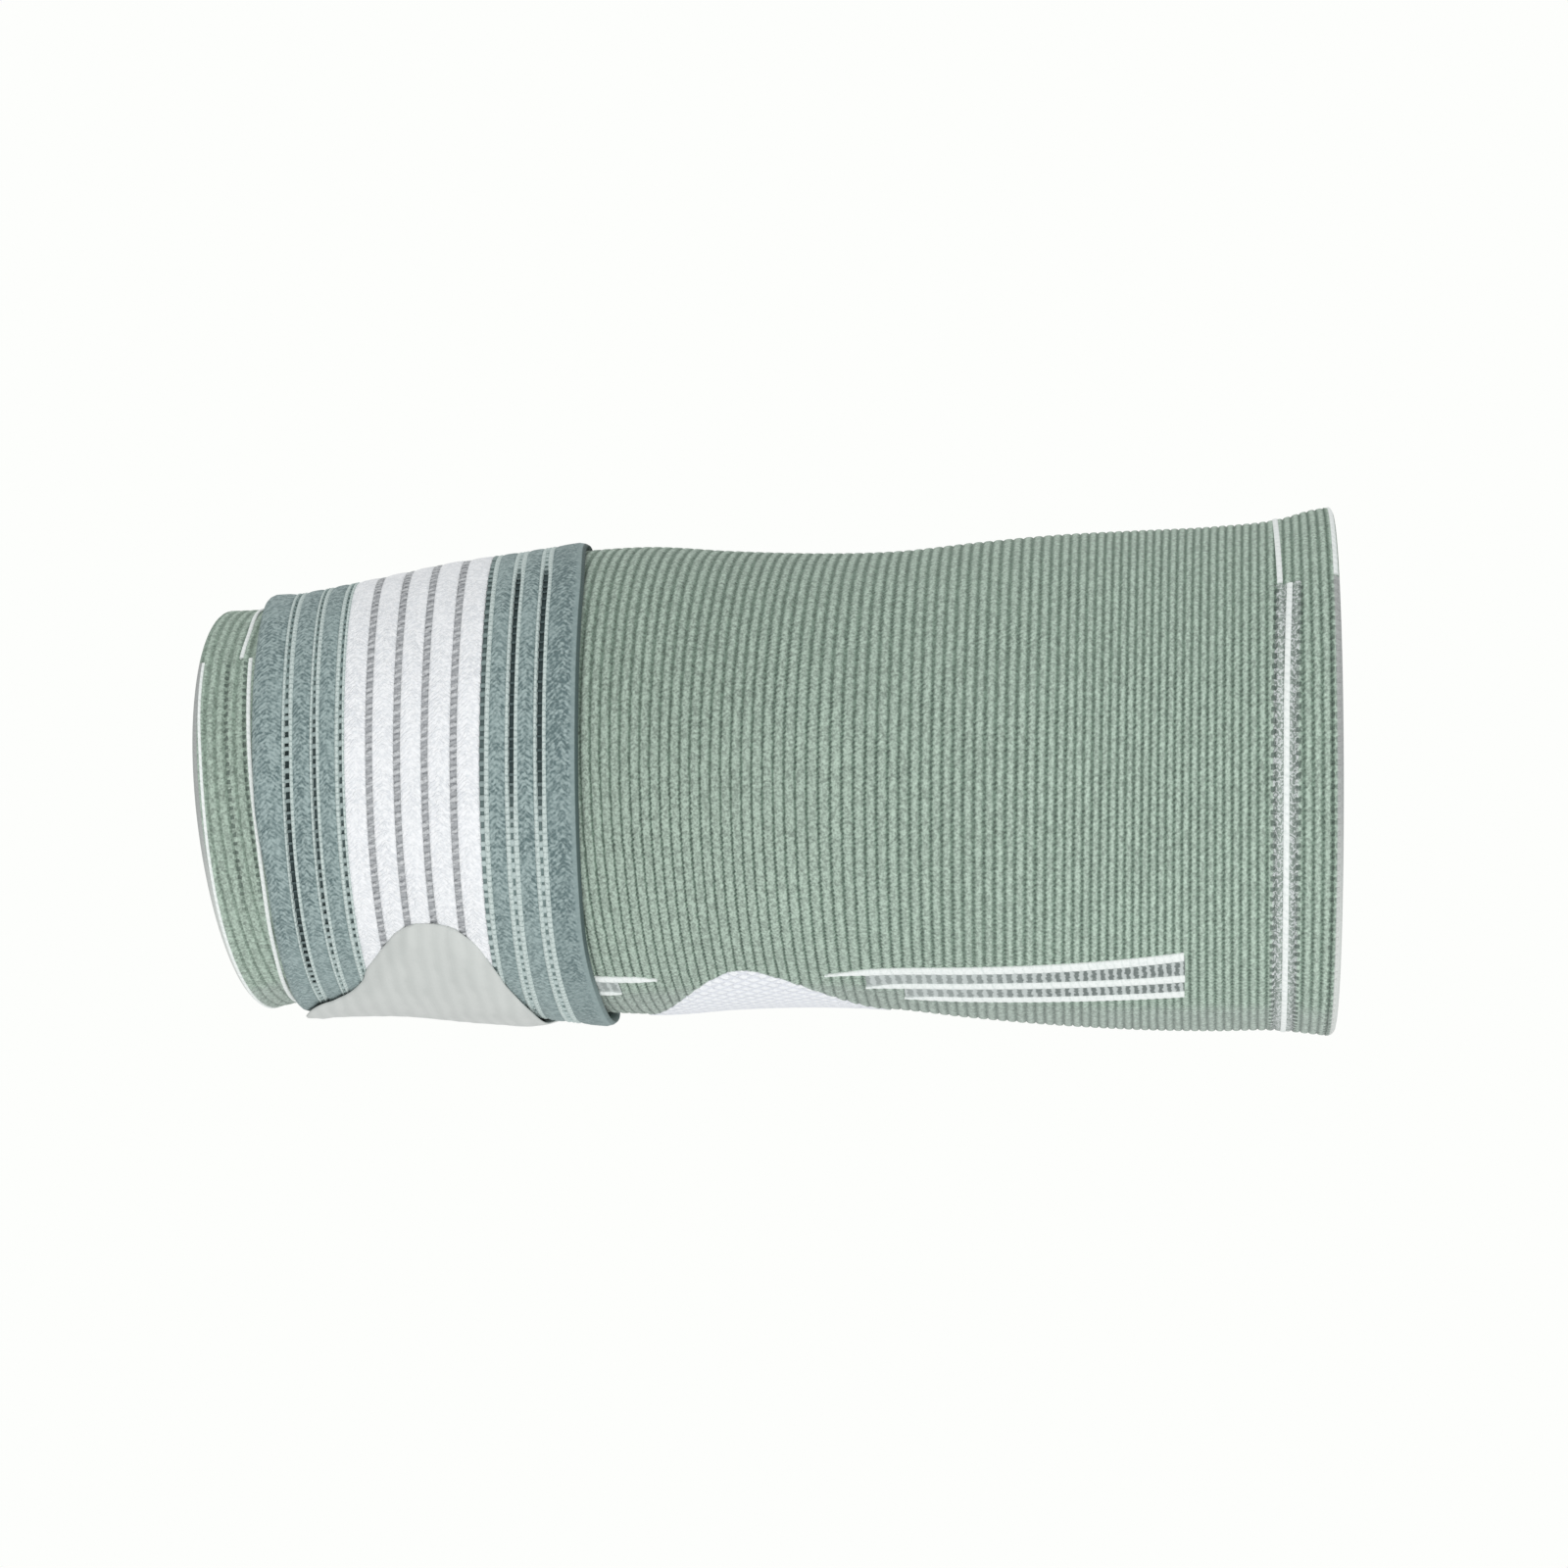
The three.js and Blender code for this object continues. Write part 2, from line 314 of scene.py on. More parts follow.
class Wiring:
    """The nodes of one material, with the few kinds of input that the finishes read."""

    def __init__(self, material: bpy.types.Material) -> None:
        """Opens the material's node tree."""
        material.use_nodes = True
        self.tree = material.node_tree
        self.shader = self.tree.nodes["Principled BSDF"]

    def map(self, name: str) -> tuple[Field, Field]:
        """Both numbers of one of the piece's own UV maps."""
        source = self.tree.nodes.new("ShaderNodeUVMap")
        source.uv_map = name
        split = self.tree.nodes.new("ShaderNodeSeparateXYZ")
        self.tree.links.new(source.outputs["UV"], split.inputs["Vector"])
        return Field(self.tree, split.outputs["X"]), Field(self.tree, split.outputs["Y"])

    def noise(self, grain: float, detail: float = 2.0) -> Field:
        """Noise from 0 to 1 in Object coordinates, with grains of about that many millimetres."""
        place = self.tree.nodes.new("ShaderNodeTexCoord")
        node = self.tree.nodes.new("ShaderNodeTexNoise")
        self.tree.links.new(place.outputs["Object"], node.inputs["Vector"])
        node.inputs["Scale"].default_value = 1000.0 / grain
        node.inputs["Detail"].default_value = detail
        return Field(self.tree, node.outputs["Fac"])

    def blend(self, share: Field, under: Colour | bpy.types.NodeSocket, over: Colour) -> bpy.types.NodeSocket:
        """The colour under, with the colour over laid on it by a share from 0 to 1."""
        node = self.tree.nodes.new("ShaderNodeMix")
        node.data_type = "RGBA"
        self.tree.links.new(share.socket, node.inputs[0])
        if isinstance(under, bpy.types.NodeSocket):
            self.tree.links.new(under, node.inputs[6])
        else:
            node.inputs[6].default_value = (*under, 1.0)
        node.inputs[7].default_value = (*over, 1.0)
        return node.outputs[2]

    def shade(self, colour: bpy.types.NodeSocket, light: Field) -> bpy.types.NodeSocket:
        """A colour made lighter or darker by a factor round 1."""
        node = self.tree.nodes.new("ShaderNodeVectorMath")
        node.operation = "SCALE"
        self.tree.links.new(colour, node.inputs[0])
        self.tree.links.new(light.socket, node.inputs["Scale"])
        return node.outputs[0]

    def finish(self, colour: bpy.types.NodeSocket, relief: Field, depth: float) -> None:
        """Gives the shader its colour and a bump whose full height is depth in millimetres."""
        node = self.tree.nodes.new("ShaderNodeBump")
        node.inputs["Distance"].default_value = depth / 1000.0
        self.tree.links.new(relief.socket, node.inputs["Height"])
        self.tree.links.new(node.outputs["Normal"], self.shader.inputs["Normal"])
        self.tree.links.new(colour, self.shader.inputs["Base Color"])


@dataclass(frozen=True)
class Finish:
    """What every finish has. A subclass lays its own colour and relief on the surface in paint."""

    made: ClassVar[dict[str, bpy.types.Material]] = {}

    name: str = "cloth"
    roughness: float = 0.85
    sheen: float = 0.0

    def build(self) -> bpy.types.Material:
        """The material, made once."""
        if self.name in self.made:
            return self.made[self.name]
        material = bpy.data.materials.new(self.name)
        self.made[self.name] = material
        wiring = Wiring(material)
        wiring.shader.inputs["Roughness"].default_value = self.roughness
        wiring.shader.inputs["Specular IOR Level"].default_value = 0.25
        wiring.shader.inputs["Sheen Weight"].default_value = self.sheen
        wiring.shader.inputs["Sheen Roughness"].default_value = 0.5
        self.paint(wiring)
        return material

    def paint(self, wiring: Wiring) -> None:
        """Lays the colour and the relief on; each finish has its own."""
        raise NotImplementedError


@dataclass(frozen=True)
class SageKnit(Finish):
    """Ribbed knit: pale rib tops, grooves that stitches cross, darkened with painted shade, and the white
    field's fine lattice.
    """

    name: str = "ribbed_knit"
    roughness: float = 0.9
    sheen: float = 0.15
    top: Colour = linear(165, 183, 170)
    # groove: painted shade in the recess between two ribs
    groove: Colour = linear(106, 127, 113)
    # hole_shade: painted shade inside the knit's holes
    hole_shade: Colour = linear(76, 93, 85)
    white: Colour = linear(243, 246, 249)
    lattice: Colour = linear(212, 217, 228)
    grey: Colour = linear(160, 167, 165)
    rim: Colour = linear(170, 172, 172)
    pale: Colour = linear(222, 227, 223)

    def paint(self, wiring: Wiring) -> None:
        """Lays the layers on one another: ribs, hems, rims and the white field."""
        stitch, rib = wiring.map("Knit")
        turn, along = wiring.map("Cloth")
        fuzz = wiring.noise(0.45, 3.0)
        mottle = wiring.noise(0.9)
        wobble = wiring.noise(1.3)
        cloud = wiring.noise(16.0)
        # Low in front the stitches lie open, and their chain pushes the ribs to and fro.
        open_knit = (cloud + turn * -0.0025 + along * 0.001).rise(0.5, 0.68)
        chain = (stitch.fold() - 0.5) * open_knit
        ridge = (rib + (wobble - 0.5) * 0.3 + chain * 0.12).fold().inverse()
        loops = (stitch + rib.fold() * 0.7 + (wobble - 0.5) * 0.8).fold()
        # The grooves' painted shade is crisp low down near the hand, softer above and past the elbow, and faint
        # on the cuff.
        soft = turn.rise(-15.0, 45.0).most(along.rise(110.0, 160.0))
        share = ridge.rise(0.02, 0.42) * soft.inverse() + ridge.rise(0.04, 0.8) * soft
        cuff = along.rise(13.0, 22.0).inverse() * 0.5
        colour = wiring.blend(share.most(soft * 0.2).most(cuff), self.groove, self.top)
        # Dark dots in the grooves are painted shade in the gaps between stitches.
        dots = ridge.near(0.0, 0.12, 0.22) * loops.rise(0.35, 0.75)
        colour = wiring.blend(dots * (open_knit * 0.45 + 0.1), colour, self.hole_shade)
        shaded = turn.mirrored().rise(-67.0, -60.0).inverse()
        colour = wiring.blend(shaded * 0.35, colour, self.grey)
        # The cloth is mottled, darkened by painted shade between its stitch loops, a little paler near the
        # upper opening and darker along the front.
        light = (fuzz - 0.5) * 1.0 + (mottle.rise(0.35, 0.65) - 0.5) * 0.3 + (cloud - 0.5) * 0.12
        light = light + loops.rise(0.2, 0.7) * -0.08 + along.rise(120.0, 190.0) * 0.1 + 1.03
        light = light + turn.near(8.0, 12.0, 35.0) * -0.06 + along.near(85.0, 10.0, 40.0) * -0.05
        colour = wiring.shade(colour, light)
        below_jog = turn.rise(JOG_TURN - 0.1, JOG_TURN + 0.2).inverse()
        colour, holes = self.hems(wiring, colour, below_jog, mottle)
        colour = self.rims(wiring, colour, below_jog)
        colour, sunk = self.field(wiring, colour, ridge, fuzz)
        wiring.finish(colour, fuzz * 0.7 + mottle * 0.5 - loops * 0.45 - holes * 1.5 - sunk * 0.9, 0.17)

    def hems(
        self, wiring: Wiring, colour: bpy.types.NodeSocket, below_jog: Field, mottle: Field
    ) -> tuple[bpy.types.NodeSocket, Field]:
        """The hems' columns of holes darkened with painted shade, and the grey, speckled knit beside the upper
        hem line.

        Args:
            wiring: The material's nodes.
            colour: The colour so far.
            below_jog: 1 below the jog and 0 above it.
            mottle: The knit's coarser noise.

        Returns:
            The new colour, and how much of a hole each place is.
        """
        stitch, _ = wiring.map("Knit")
        turn, _ = wiring.map("Cloth")
        below, above = wiring.map("Hems")
        band = above.near(-0.15, 2.1, 0.35) * turn.rise(-175.0, -120.0) * below_jog
        zigzag = (stitch * 0.55 + (above * 0.8).fold() * 0.5 + mottle * 3.0).fold()
        colour = wiring.blend(band * 0.6, colour, self.grey)
        colour = wiring.blend(band * zigzag.rise(0.55, 0.85) * 0.5, colour, self.white)
        # The speckled knit's darkest flecks are painted shade where its stitches open.
        colour = wiring.blend(band * zigzag.inverse().rise(0.66, 0.95) * 0.4, colour, self.hole_shade)
        # The dotted rows are holes darkened with painted shade.
        spots = (stitch * 0.5 + mottle * 0.5).fold().rise(0.42, 0.72)
        rows = above.near(-2.4, 0.3, 0.25).most(above.near(2.1, 0.3, 0.25))
        faint_rows = above.near(7.9, 0.2, 0.25).most(above.near(8.9, 0.25, 0.25)) * 0.7
        lower_rows = below.near(-4.6, 0.25, 0.25).most(below.near(-0.95, 0.2, 0.2)) * turn.rise(-45.0, -15.0)
        holes = rows.most(faint_rows).most(lower_rows) * spots * turn.rise(-165.0, -110.0) * below_jog
        return wiring.blend(holes * 0.75, colour, self.hole_shade), holes

    def rims(self, wiring: Wiring, colour: bpy.types.NodeSocket, below_jog: Field) -> bpy.types.NodeSocket:
        """Both rims' rolled edges: grey in front, paler towards the underside, and fading out at the back."""
        turn, along = wiring.map("Cloth")
        edge = along.rise(1.1, 1.4).inverse().most(along.rise(222.7, 223.1))
        edge = edge * below_jog * turn.rise(-250.0, -200.0)
        under = turn.rise(-50.0, 5.0).inverse()
        return wiring.blend(edge * under * 0.8, wiring.blend(edge * 0.85, colour, self.rim), self.pale)

    def field(
        self, wiring: Wiring, colour: bpy.types.NodeSocket, ridge: Field, fuzz: Field
    ) -> tuple[bpy.types.NodeSocket, Field]:
        """The white field with its soft lattice, by the same bell as WhiteField.depth.

        Args:
            wiring: The material's nodes.
            colour: The colour so far.
            ridge: 0 in a rib's groove and 1 on its top.
            fuzz: The knit's finer noise.

        Returns:
            The new colour, and how much of a lattice line each place is.
        """
        stitch, rib = wiring.map("Knit")
        turn, along = wiring.map("Cloth")
        off = along - WHITE_FIELD.peak_along
        past = off.rise(-0.5, 0.5)
        share = past * (WHITE_FIELD.upper_fall - WHITE_FIELD.lower_fall) + WHITE_FIELD.lower_fall
        fall = off.size().join("POWER", WHITE_FIELD.power) * share
        inside = (fall * -1.0 - turn.mirrored() + WHITE_FIELD.peak_turn) * WHITE_FIELD.mm_per_degree
        ragged = (inside + ridge * 0.25 + (fuzz - 0.5) * 0.4).rise(-0.25, 0.25)
        one_way = (stitch * 0.4 + rib * 0.55).fold().rise(0.5, 0.95)
        other_way = (stitch * 0.4 - rib * 0.55).fold().rise(0.5, 0.95)
        lines = ragged * one_way.most(other_way)
        return wiring.blend(lines * 0.55, wiring.blend(ragged, colour, self.white), self.lattice), lines


@dataclass(frozen=True)
class WhiteYarn(Finish):
    """Thick white yarn laid over the ribs, fluffy and a little grey between its stitches."""

    name: str = "white_yarn"
    roughness: float = 0.9
    sheen: float = 0.2
    yarn: Colour = linear(240, 245, 243)
    shadow: Colour = linear(206, 216, 213)

    def paint(self, wiring: Wiring) -> None:
        """Greys the yarn a little between stitches and roughens it."""
        step, across = wiring.map("Yarn")
        fuzz = wiring.noise(0.5, 3.0)
        gap = (step + across * 0.3).fold().rise(0.55, 1.0)
        colour = wiring.blend(gap * 0.3 + (fuzz - 0.45) * 1.6, self.yarn, self.shadow)
        wiring.finish(colour, fuzz * 0.8 - gap * 0.4, 0.12)


@dataclass(frozen=True)
class GreyFloats(Finish):
    """Short dark grey threads that cross every rib between two white stripes."""

    name: str = "grey_floats"
    roughness: float = 0.9
    dark: Colour = linear(114, 123, 121)
    pale: Colour = linear(192, 200, 198)
    faint_to: float = 90.0

    def paint(self, wiring: Wiring) -> None:
        """Alternates dark threads with pale gaps, one of each for a rib, fainter below the rib faint_to."""
        step, across = wiring.map("Yarn")
        fuzz = wiring.noise(0.5, 3.0)
        lean = (across - 0.5) * 0.2 + (wiring.noise(0.9) - 0.5) * 0.7
        dash = (step + lean + 0.5).fold().rise(0.28, 0.66) * across.near(0.5, 0.2, 0.26)
        strength = step.rise(self.faint_to - 20.0, self.faint_to) * 0.45 + 0.55
        colour = wiring.blend(dash * (fuzz * 0.8 + 0.6) * strength, self.pale, self.dark)
        wiring.finish(colour, fuzz * 0.5 + dash * 0.5, 0.12)


@dataclass(frozen=True)
class Webbing(Finish):
    """Elastic webbing in a herringbone weave whose chevrons meet on the middle of each band."""

    name: str = "blue_webbing"
    roughness: float = 0.8
    sheen: float = 0.1
    yarn: Colour = linear(163, 181, 180)
    shadow: Colour = linear(97, 117, 118)
    pitch: float = 1.05
    slope: float = 0.85
    # edge_shadow: painted shadow beside the strap's edge nearer the elbow
    edge_shadow: Colour = linear(72, 90, 88)
    contrast: float = 0.42
    plain_from: float = 64.0

    def paint(self, wiring: Wiring) -> None:
        """Draws yarns that slant away from each band's middle, clear in some places only."""
        around, across = wiring.map("Weave")
        _, middle = wiring.map("Band")
        fuzz = wiring.noise(0.6, 2.0).rise(0.35, 0.65)
        mottle = wiring.noise(0.9, 1.0).rise(0.38, 0.62)
        cloud = wiring.noise(9.0)
        wobble = wiring.noise(1.5)
        slant = around + middle.size() * self.slope + (wobble - 0.5) * 1.8
        plain = across.rise(self.plain_from, self.plain_from + 0.9)
        woven = plain.inverse() * (cloud.rise(0.3, 0.6) * 0.4 + 0.6)
        twill = (slant * (1.0 / self.pitch)).fold().rise(0.2, 0.85) * woven
        rough = (fuzz - 0.5) * 0.35 + (mottle - 0.5) * 0.65
        calm = around.rise(-52.0, -12.0) * 0.4 + 0.6
        share = (twill * self.contrast + rough * (woven * 0.8 + 0.2)) * calm + (cloud - 0.5) * 0.1
        share = share + across.rise(55.0, 60.0) * 0.2 + 0.25
        colour = wiring.blend(share, self.yarn, self.shadow)
        # A painted shadow along the strap's edge nearer the elbow, where it stands off the sleeve; stronger
        # from the front upwards.
        edge_shadow = across.rise(65.2, 65.5) * (around.rise(-56.0, -30.0) * 0.6 + 0.4)
        colour = wiring.blend(edge_shadow, colour, self.edge_shadow)
        wiring.finish(colour, fuzz * 0.4 + mottle * 0.3 - twill * 0.6, 0.16)


@dataclass(frozen=True)
class Thread(Finish):
    """Plain thread with stitches a little darker between them."""

    name: str = "edge_thread"
    roughness: float = 0.85
    yarn: Colour = linear(205, 218, 215)
    shadow: Colour = linear(142, 159, 157)
    pitch: float = 1.2

    def paint(self, wiring: Wiring) -> None:
        """Roughens the thread and darkens it between stitches."""
        around, _ = wiring.map("Weave")
        fuzz = wiring.noise(0.4, 3.0)
        gap = (around * (1.0 / self.pitch) + (fuzz - 0.5) * 0.5).fold().rise(0.5, 1.0)
        colour = wiring.blend(gap * 0.5 + (fuzz - 0.44) * 1.8, self.yarn, self.shadow)
        wiring.finish(colour, fuzz - gap * 0.5, 0.1)


@dataclass(frozen=True)
class ShadedSlotThread(Finish):
    """Thread in an open line: paler where it lies open to the light, and darkened with painted shade where the
    line is stretched open.
    """

    name: str = "slot_floor"
    roughness: float = 0.9
    dark: Colour = linear(58, 72, 73)
    closed: Colour = linear(104, 121, 120)
    pale: Colour = linear(122, 140, 139)

    def paint(self, wiring: Wiring) -> None:
        """Colours the thread by the two shares that the strap gives each place."""
        opened, pale = wiring.map("Open")
        fuzz = wiring.noise(0.5, 3.0)
        closed = wiring.blend(pale, self.closed, self.pale)
        colour = wiring.blend(opened * 0.95 + (fuzz - 0.5) * 0.4, closed, self.dark)
        wiring.finish(colour, fuzz, 0.1)


@dataclass(frozen=True)
class SatinCloth(Finish):
    """Smooth, pale grey satin over the fastening, with faint bands of painted shade over the ridges of the tape
    under it.
    """

    name: str = "tab_satin"
    roughness: float = 0.5
    sheen: float = 0.1
    cloth: Colour = linear(205, 209, 206)
    shadow: Colour = linear(187, 192, 189)

    def paint(self, wiring: Wiring) -> None:
        """Shades slow bands across the strap and roughens the cloth with a fine weave."""
        around, across = wiring.map("Weave")
        fuzz = wiring.noise(0.6, 2.0)
        cloud = wiring.noise(7.0)
        # The bands are painted shade over the ridges that the tape beneath raises.
        bands = (across * 0.3 + cloud * 0.9).fold().rise(0.1, 0.9)
        weave = (around * 1.6).fold() * 0.5 + (across * 1.6).fold() * 0.5
        share = bands * 0.35 + (cloud - 0.4) * 0.8 + (fuzz - 0.5) * 0.3
        colour = wiring.blend(share, self.cloth, self.shadow)
        wiring.finish(colour, weave * 0.3 + fuzz * 0.4 + bands * 0.6, 0.07)


@dataclass(frozen=True)
class HookTape(Finish):
    """Grey hook tape: rows of small hooks on a woven ground."""

    name: str = "hook_rows"
    roughness: float = 0.6
    plastic: Colour = linear(150, 156, 154)
    shadow: Colour = linear(96, 102, 101)

    def paint(self, wiring: Wiring) -> None:
        """Draws the rows of hooks as dark gaps and raised dots."""
        around, across = wiring.map("Weave")
        hooks = (around * 0.9).fold() * (across * 0.9).fold()
        colour = wiring.blend(hooks.rise(0.1, 0.6), self.shadow, self.plastic)
        wiring.finish(colour, hooks, 0.3)


def sheet_faces(rows: int, columns: int, rows_close: bool, wide: int = 0) -> Array:
    """The corners of the four-sided faces of a grid whose rows are closed loops.

    Args:
        rows: Number of rows of points.
        columns: Number of points in a row.
        rows_close: Whether the last row meets the first.
        wide: Columns stored in a row, where a map repeats its first column at the end; 0 for columns.

    Returns:
        One line of four point numbers for each face.
    """
    stored = wide or columns
    r = np.arange(rows if rows_close else rows - 1)[:, None]
    c = np.arange(columns)[None, :]
    after = c + 1 if stored > columns else (c + 1) % columns
    below = (r + 1) % rows
    corners = [r * stored + c, r * stored + after, below * stored + after, below * stored + c]
    return np.stack(np.broadcast_arrays(*corners), axis=-1).reshape(-1, 4)


def end_faces(rows: int, columns: int) -> Array:
    """Faces that close a grid's first and last rows, whose second half runs back under the first half."""
    k = np.arange(columns // 2 - 1)
    cap = np.stack([k, columns - 1 - k, columns - 2 - k, k + 1], axis=-1)
    return np.concatenate([cap[:, ::-1], cap + (rows - 1) * columns])


def outward(points: Array, faces: Array) -> bool:
    """Whether a closed mesh's faces point outwards, which its signed volume tells."""
    a, b, c, d = (points[faces[:, i]] for i in range(4))
    volume = np.einsum("ij,ij->i", a, np.cross(b, c)) + np.einsum("ij,ij->i", a, np.cross(c, d))
    return float(volume.sum()) > 0.0


@dataclass
class Cloth:
    """A piece of cloth before it is a mesh: points, faces, maps and the finish of each face."""

    name: str
    points: Array
    faces: Array
    maps: dict[str, Array]
    finishes: tuple[Finish, ...]
    finish_of: Array | None = None

    @classmethod
    def grid(
        cls,
        name: str,
        points: Array,
        maps: dict[str, Array],
        finishes: tuple[Finish, ...],
        rows_close: bool,
        finish_of: Array | None = None,
    ) -> Cloth:
        """Makes a piece from a grid of points whose rows are closed loops.

        Args:
            name: The piece's name.
            points: Points by row and column, in metres.
            maps: The number pairs of each UV map by row and column. A map with one column more than the
                points keeps its own value where a row closes.
            finishes: The finishes of the piece.
            rows_close: Whether the last row meets the first. If not, each end is capped.
            finish_of: Which finish each row has, or each column, by its number; None for the first.

        Returns:
            The piece.
        """
        rows, columns = points.shape[:2]
        faces = sheet_faces(rows, columns, rows_close)
        corner_maps = {}
        for key, values in maps.items():
            corners = sheet_faces(rows, columns, rows_close, values.shape[1])
            corner_maps[key] = values.reshape(-1, 2)[corners]
        owner = None if finish_of is None else np.tile(finish_of, len(faces) // len(finish_of))
        if not rows_close:
            ends = end_faces(rows, columns)
            faces = np.concatenate([faces, ends])
            for key, values in maps.items():
                flat = values[:, :columns].reshape(-1, 2)
                corner_maps[key] = np.concatenate([corner_maps[key], flat[ends]])
            if owner is not None:
                owner = np.concatenate([owner, np.zeros(len(ends), int)])
        return cls(name, points.reshape(-1, 3), faces, corner_maps, finishes, owner)

    @classmethod
    def tubes(cls, name: str, points: Array, maps: dict[str, Array], finishes: tuple[Finish, ...]) -> Cloth:
        """Makes one piece of many short threads.

        Args:
            name: The piece's name.
            points: Points by thread, ring and place in the ring, in metres; a ring has six places.
            maps: The number pairs of each UV map, in the same order.
            finishes: The finishes of the piece.

        Returns:
            The piece.
        """
        threads, rings, sides = points.shape[:3]
        one = np.concatenate([sheet_faces(rings, sides, False), end_faces(rings, sides)])
        faces = (one[None] + (np.arange(threads) * rings * sides)[:, None, None]).reshape(-1, 4)
        corner_maps = {key: values.reshape(-1, 2)[faces] for key, values in maps.items()}
        return cls(name, points.reshape(-1, 3), faces, corner_maps, finishes)

    def build(self, slot: str, *nodes: str) -> bpy.types.Object:
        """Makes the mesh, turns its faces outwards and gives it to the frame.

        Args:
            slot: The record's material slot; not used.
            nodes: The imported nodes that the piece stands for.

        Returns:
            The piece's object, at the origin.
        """
        flip = not outward(self.points, self.faces)
        faces = self.faces[:, ::-1] if flip else self.faces
        mesh = bpy.data.meshes.new(self.name)
        mesh.from_pydata(self.points, [], faces)
        for key, values in self.maps.items():
            layer = mesh.uv_layers.new(name=key)
            layer.data.foreach_set("uv", (values[:, ::-1] if flip else values).astype(np.float32).ravel())
        for finish in self.finishes:
            mesh.materials.append(finish.build())
        if self.finish_of is not None:
            mesh.polygons.foreach_set("material_index", self.finish_of.astype(np.int32))
        mesh.polygons.foreach_set("use_smooth", np.ones(len(faces), bool))
        mesh.update()
        piece = bpy.data.objects.new(self.name, mesh)
        bpy.context.scene.collection.objects.link(piece)
        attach(piece, "root")
        if nodes:
            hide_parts(*nodes)
        log.info("%s: %d faces", self.name, len(faces))
        return piece


@dataclass(frozen=True)
class KnitLine:
    """A line knitted into a hem: its place along the arm at a few turns, from the jog down and all round."""

    name: str
    turns: tuple[float, ...]
    alongs: tuple[float, ...]
    width: float
    crown: float
    start: float = 46.1
    end: float = -313.3

    def along(self, turn: Array) -> Array:
        """Where the line lies at each turn; a turn above the jog counts as one from the round before."""
        unrolled = np.where(turn > JOG_TURN, turn - 360.0, turn)
        return through(np.array(self.turns[::-1]), np.array(self.alongs[::-1]), unrolled)


LOWER_HEM = KnitLine(
    "lower_hem_line",
    (48.0, 30.0, 6.0, -10.0, -23.0, -43.0, -80.0, -110.0, -200.0, -280.0, -301.0, -312.0),
    (11.0, 11.6, 11.9, 11.9, 11.4, 10.0, 7.1, 6.2, 6.6, 8.2, 9.3, 9.1),
    width=0.85,
    crown=0.2,
)
UPPER_HEM = KnitLine(
    "upper_hem_line",
    (48.0, 20.0, -24.0, -80.0, -180.0, -270.0, -284.0, -312.0),
    (215.0, 214.3, 214.1, 213.9, 213.3, 212.3, 212.4, 213.1),
    width=1.1,
    crown=0.25,
)
LOWER_RIM = KnitLine(
    "lower_rim_line",
    (48.0, 27.0, 15.0, 2.0, -15.0, -30.0, -45.0, -90.0, -160.0, -312.0),
    (1.3, 1.6, 1.9, 1.9, 1.6, 1.3, 1.1, 0.9, 1.1, 1.3),
    width=0.6,
    crown=0.16,
    end=-200.0,
)
UPPER_RIM = KnitLine(
    "upper_rim_line",
    (48.0, -160.0, -270.0, -312.0),
    (223.35, 223.35, 223.3, 223.35),
    width=0.9,
    crown=0.3,
    start=-170.0,
)


@dataclass(frozen=True)
class WhiteStripe:
    """A raised stripe along the sleeve, from a fine tip to a blunt end."""

    name: str
    tip: float
    end: float
    tip_turn: float
    end_turn: float
    bow: float
    width: float
    taper: float

    def turn(self, along: Array) -> Array:
        """The stripe's turn: straight from tip to end, with a bow of half a sine wave."""
        t = (along - self.tip) / (self.end - self.tip)
        return self.tip_turn + (self.end_turn - self.tip_turn) * t + self.bow * np.sin(np.pi * t)


STRIPES = (
    WhiteStripe("upper_stripe_1", 123.8, 194.8, -57.7, -43.2, 0.7, 2.2, 9.0),
    WhiteStripe("upper_stripe_2", 131.2, 194.8, -63.5, -50.5, 1.8, 2.1, 6.0),
    WhiteStripe("upper_stripe_3", 138.5, 194.8, -68.5, -56.5, 1.7, 2.15, 6.0),
    WhiteStripe("lower_stripe_1", 89.8, 76.0, -57.2, -56.8, 0.0, 2.0, 5.0),
    WhiteStripe("lower_stripe_2", 81.2, 75.7, -63.8, -64.2, 0.0, 1.6, 3.0),
)


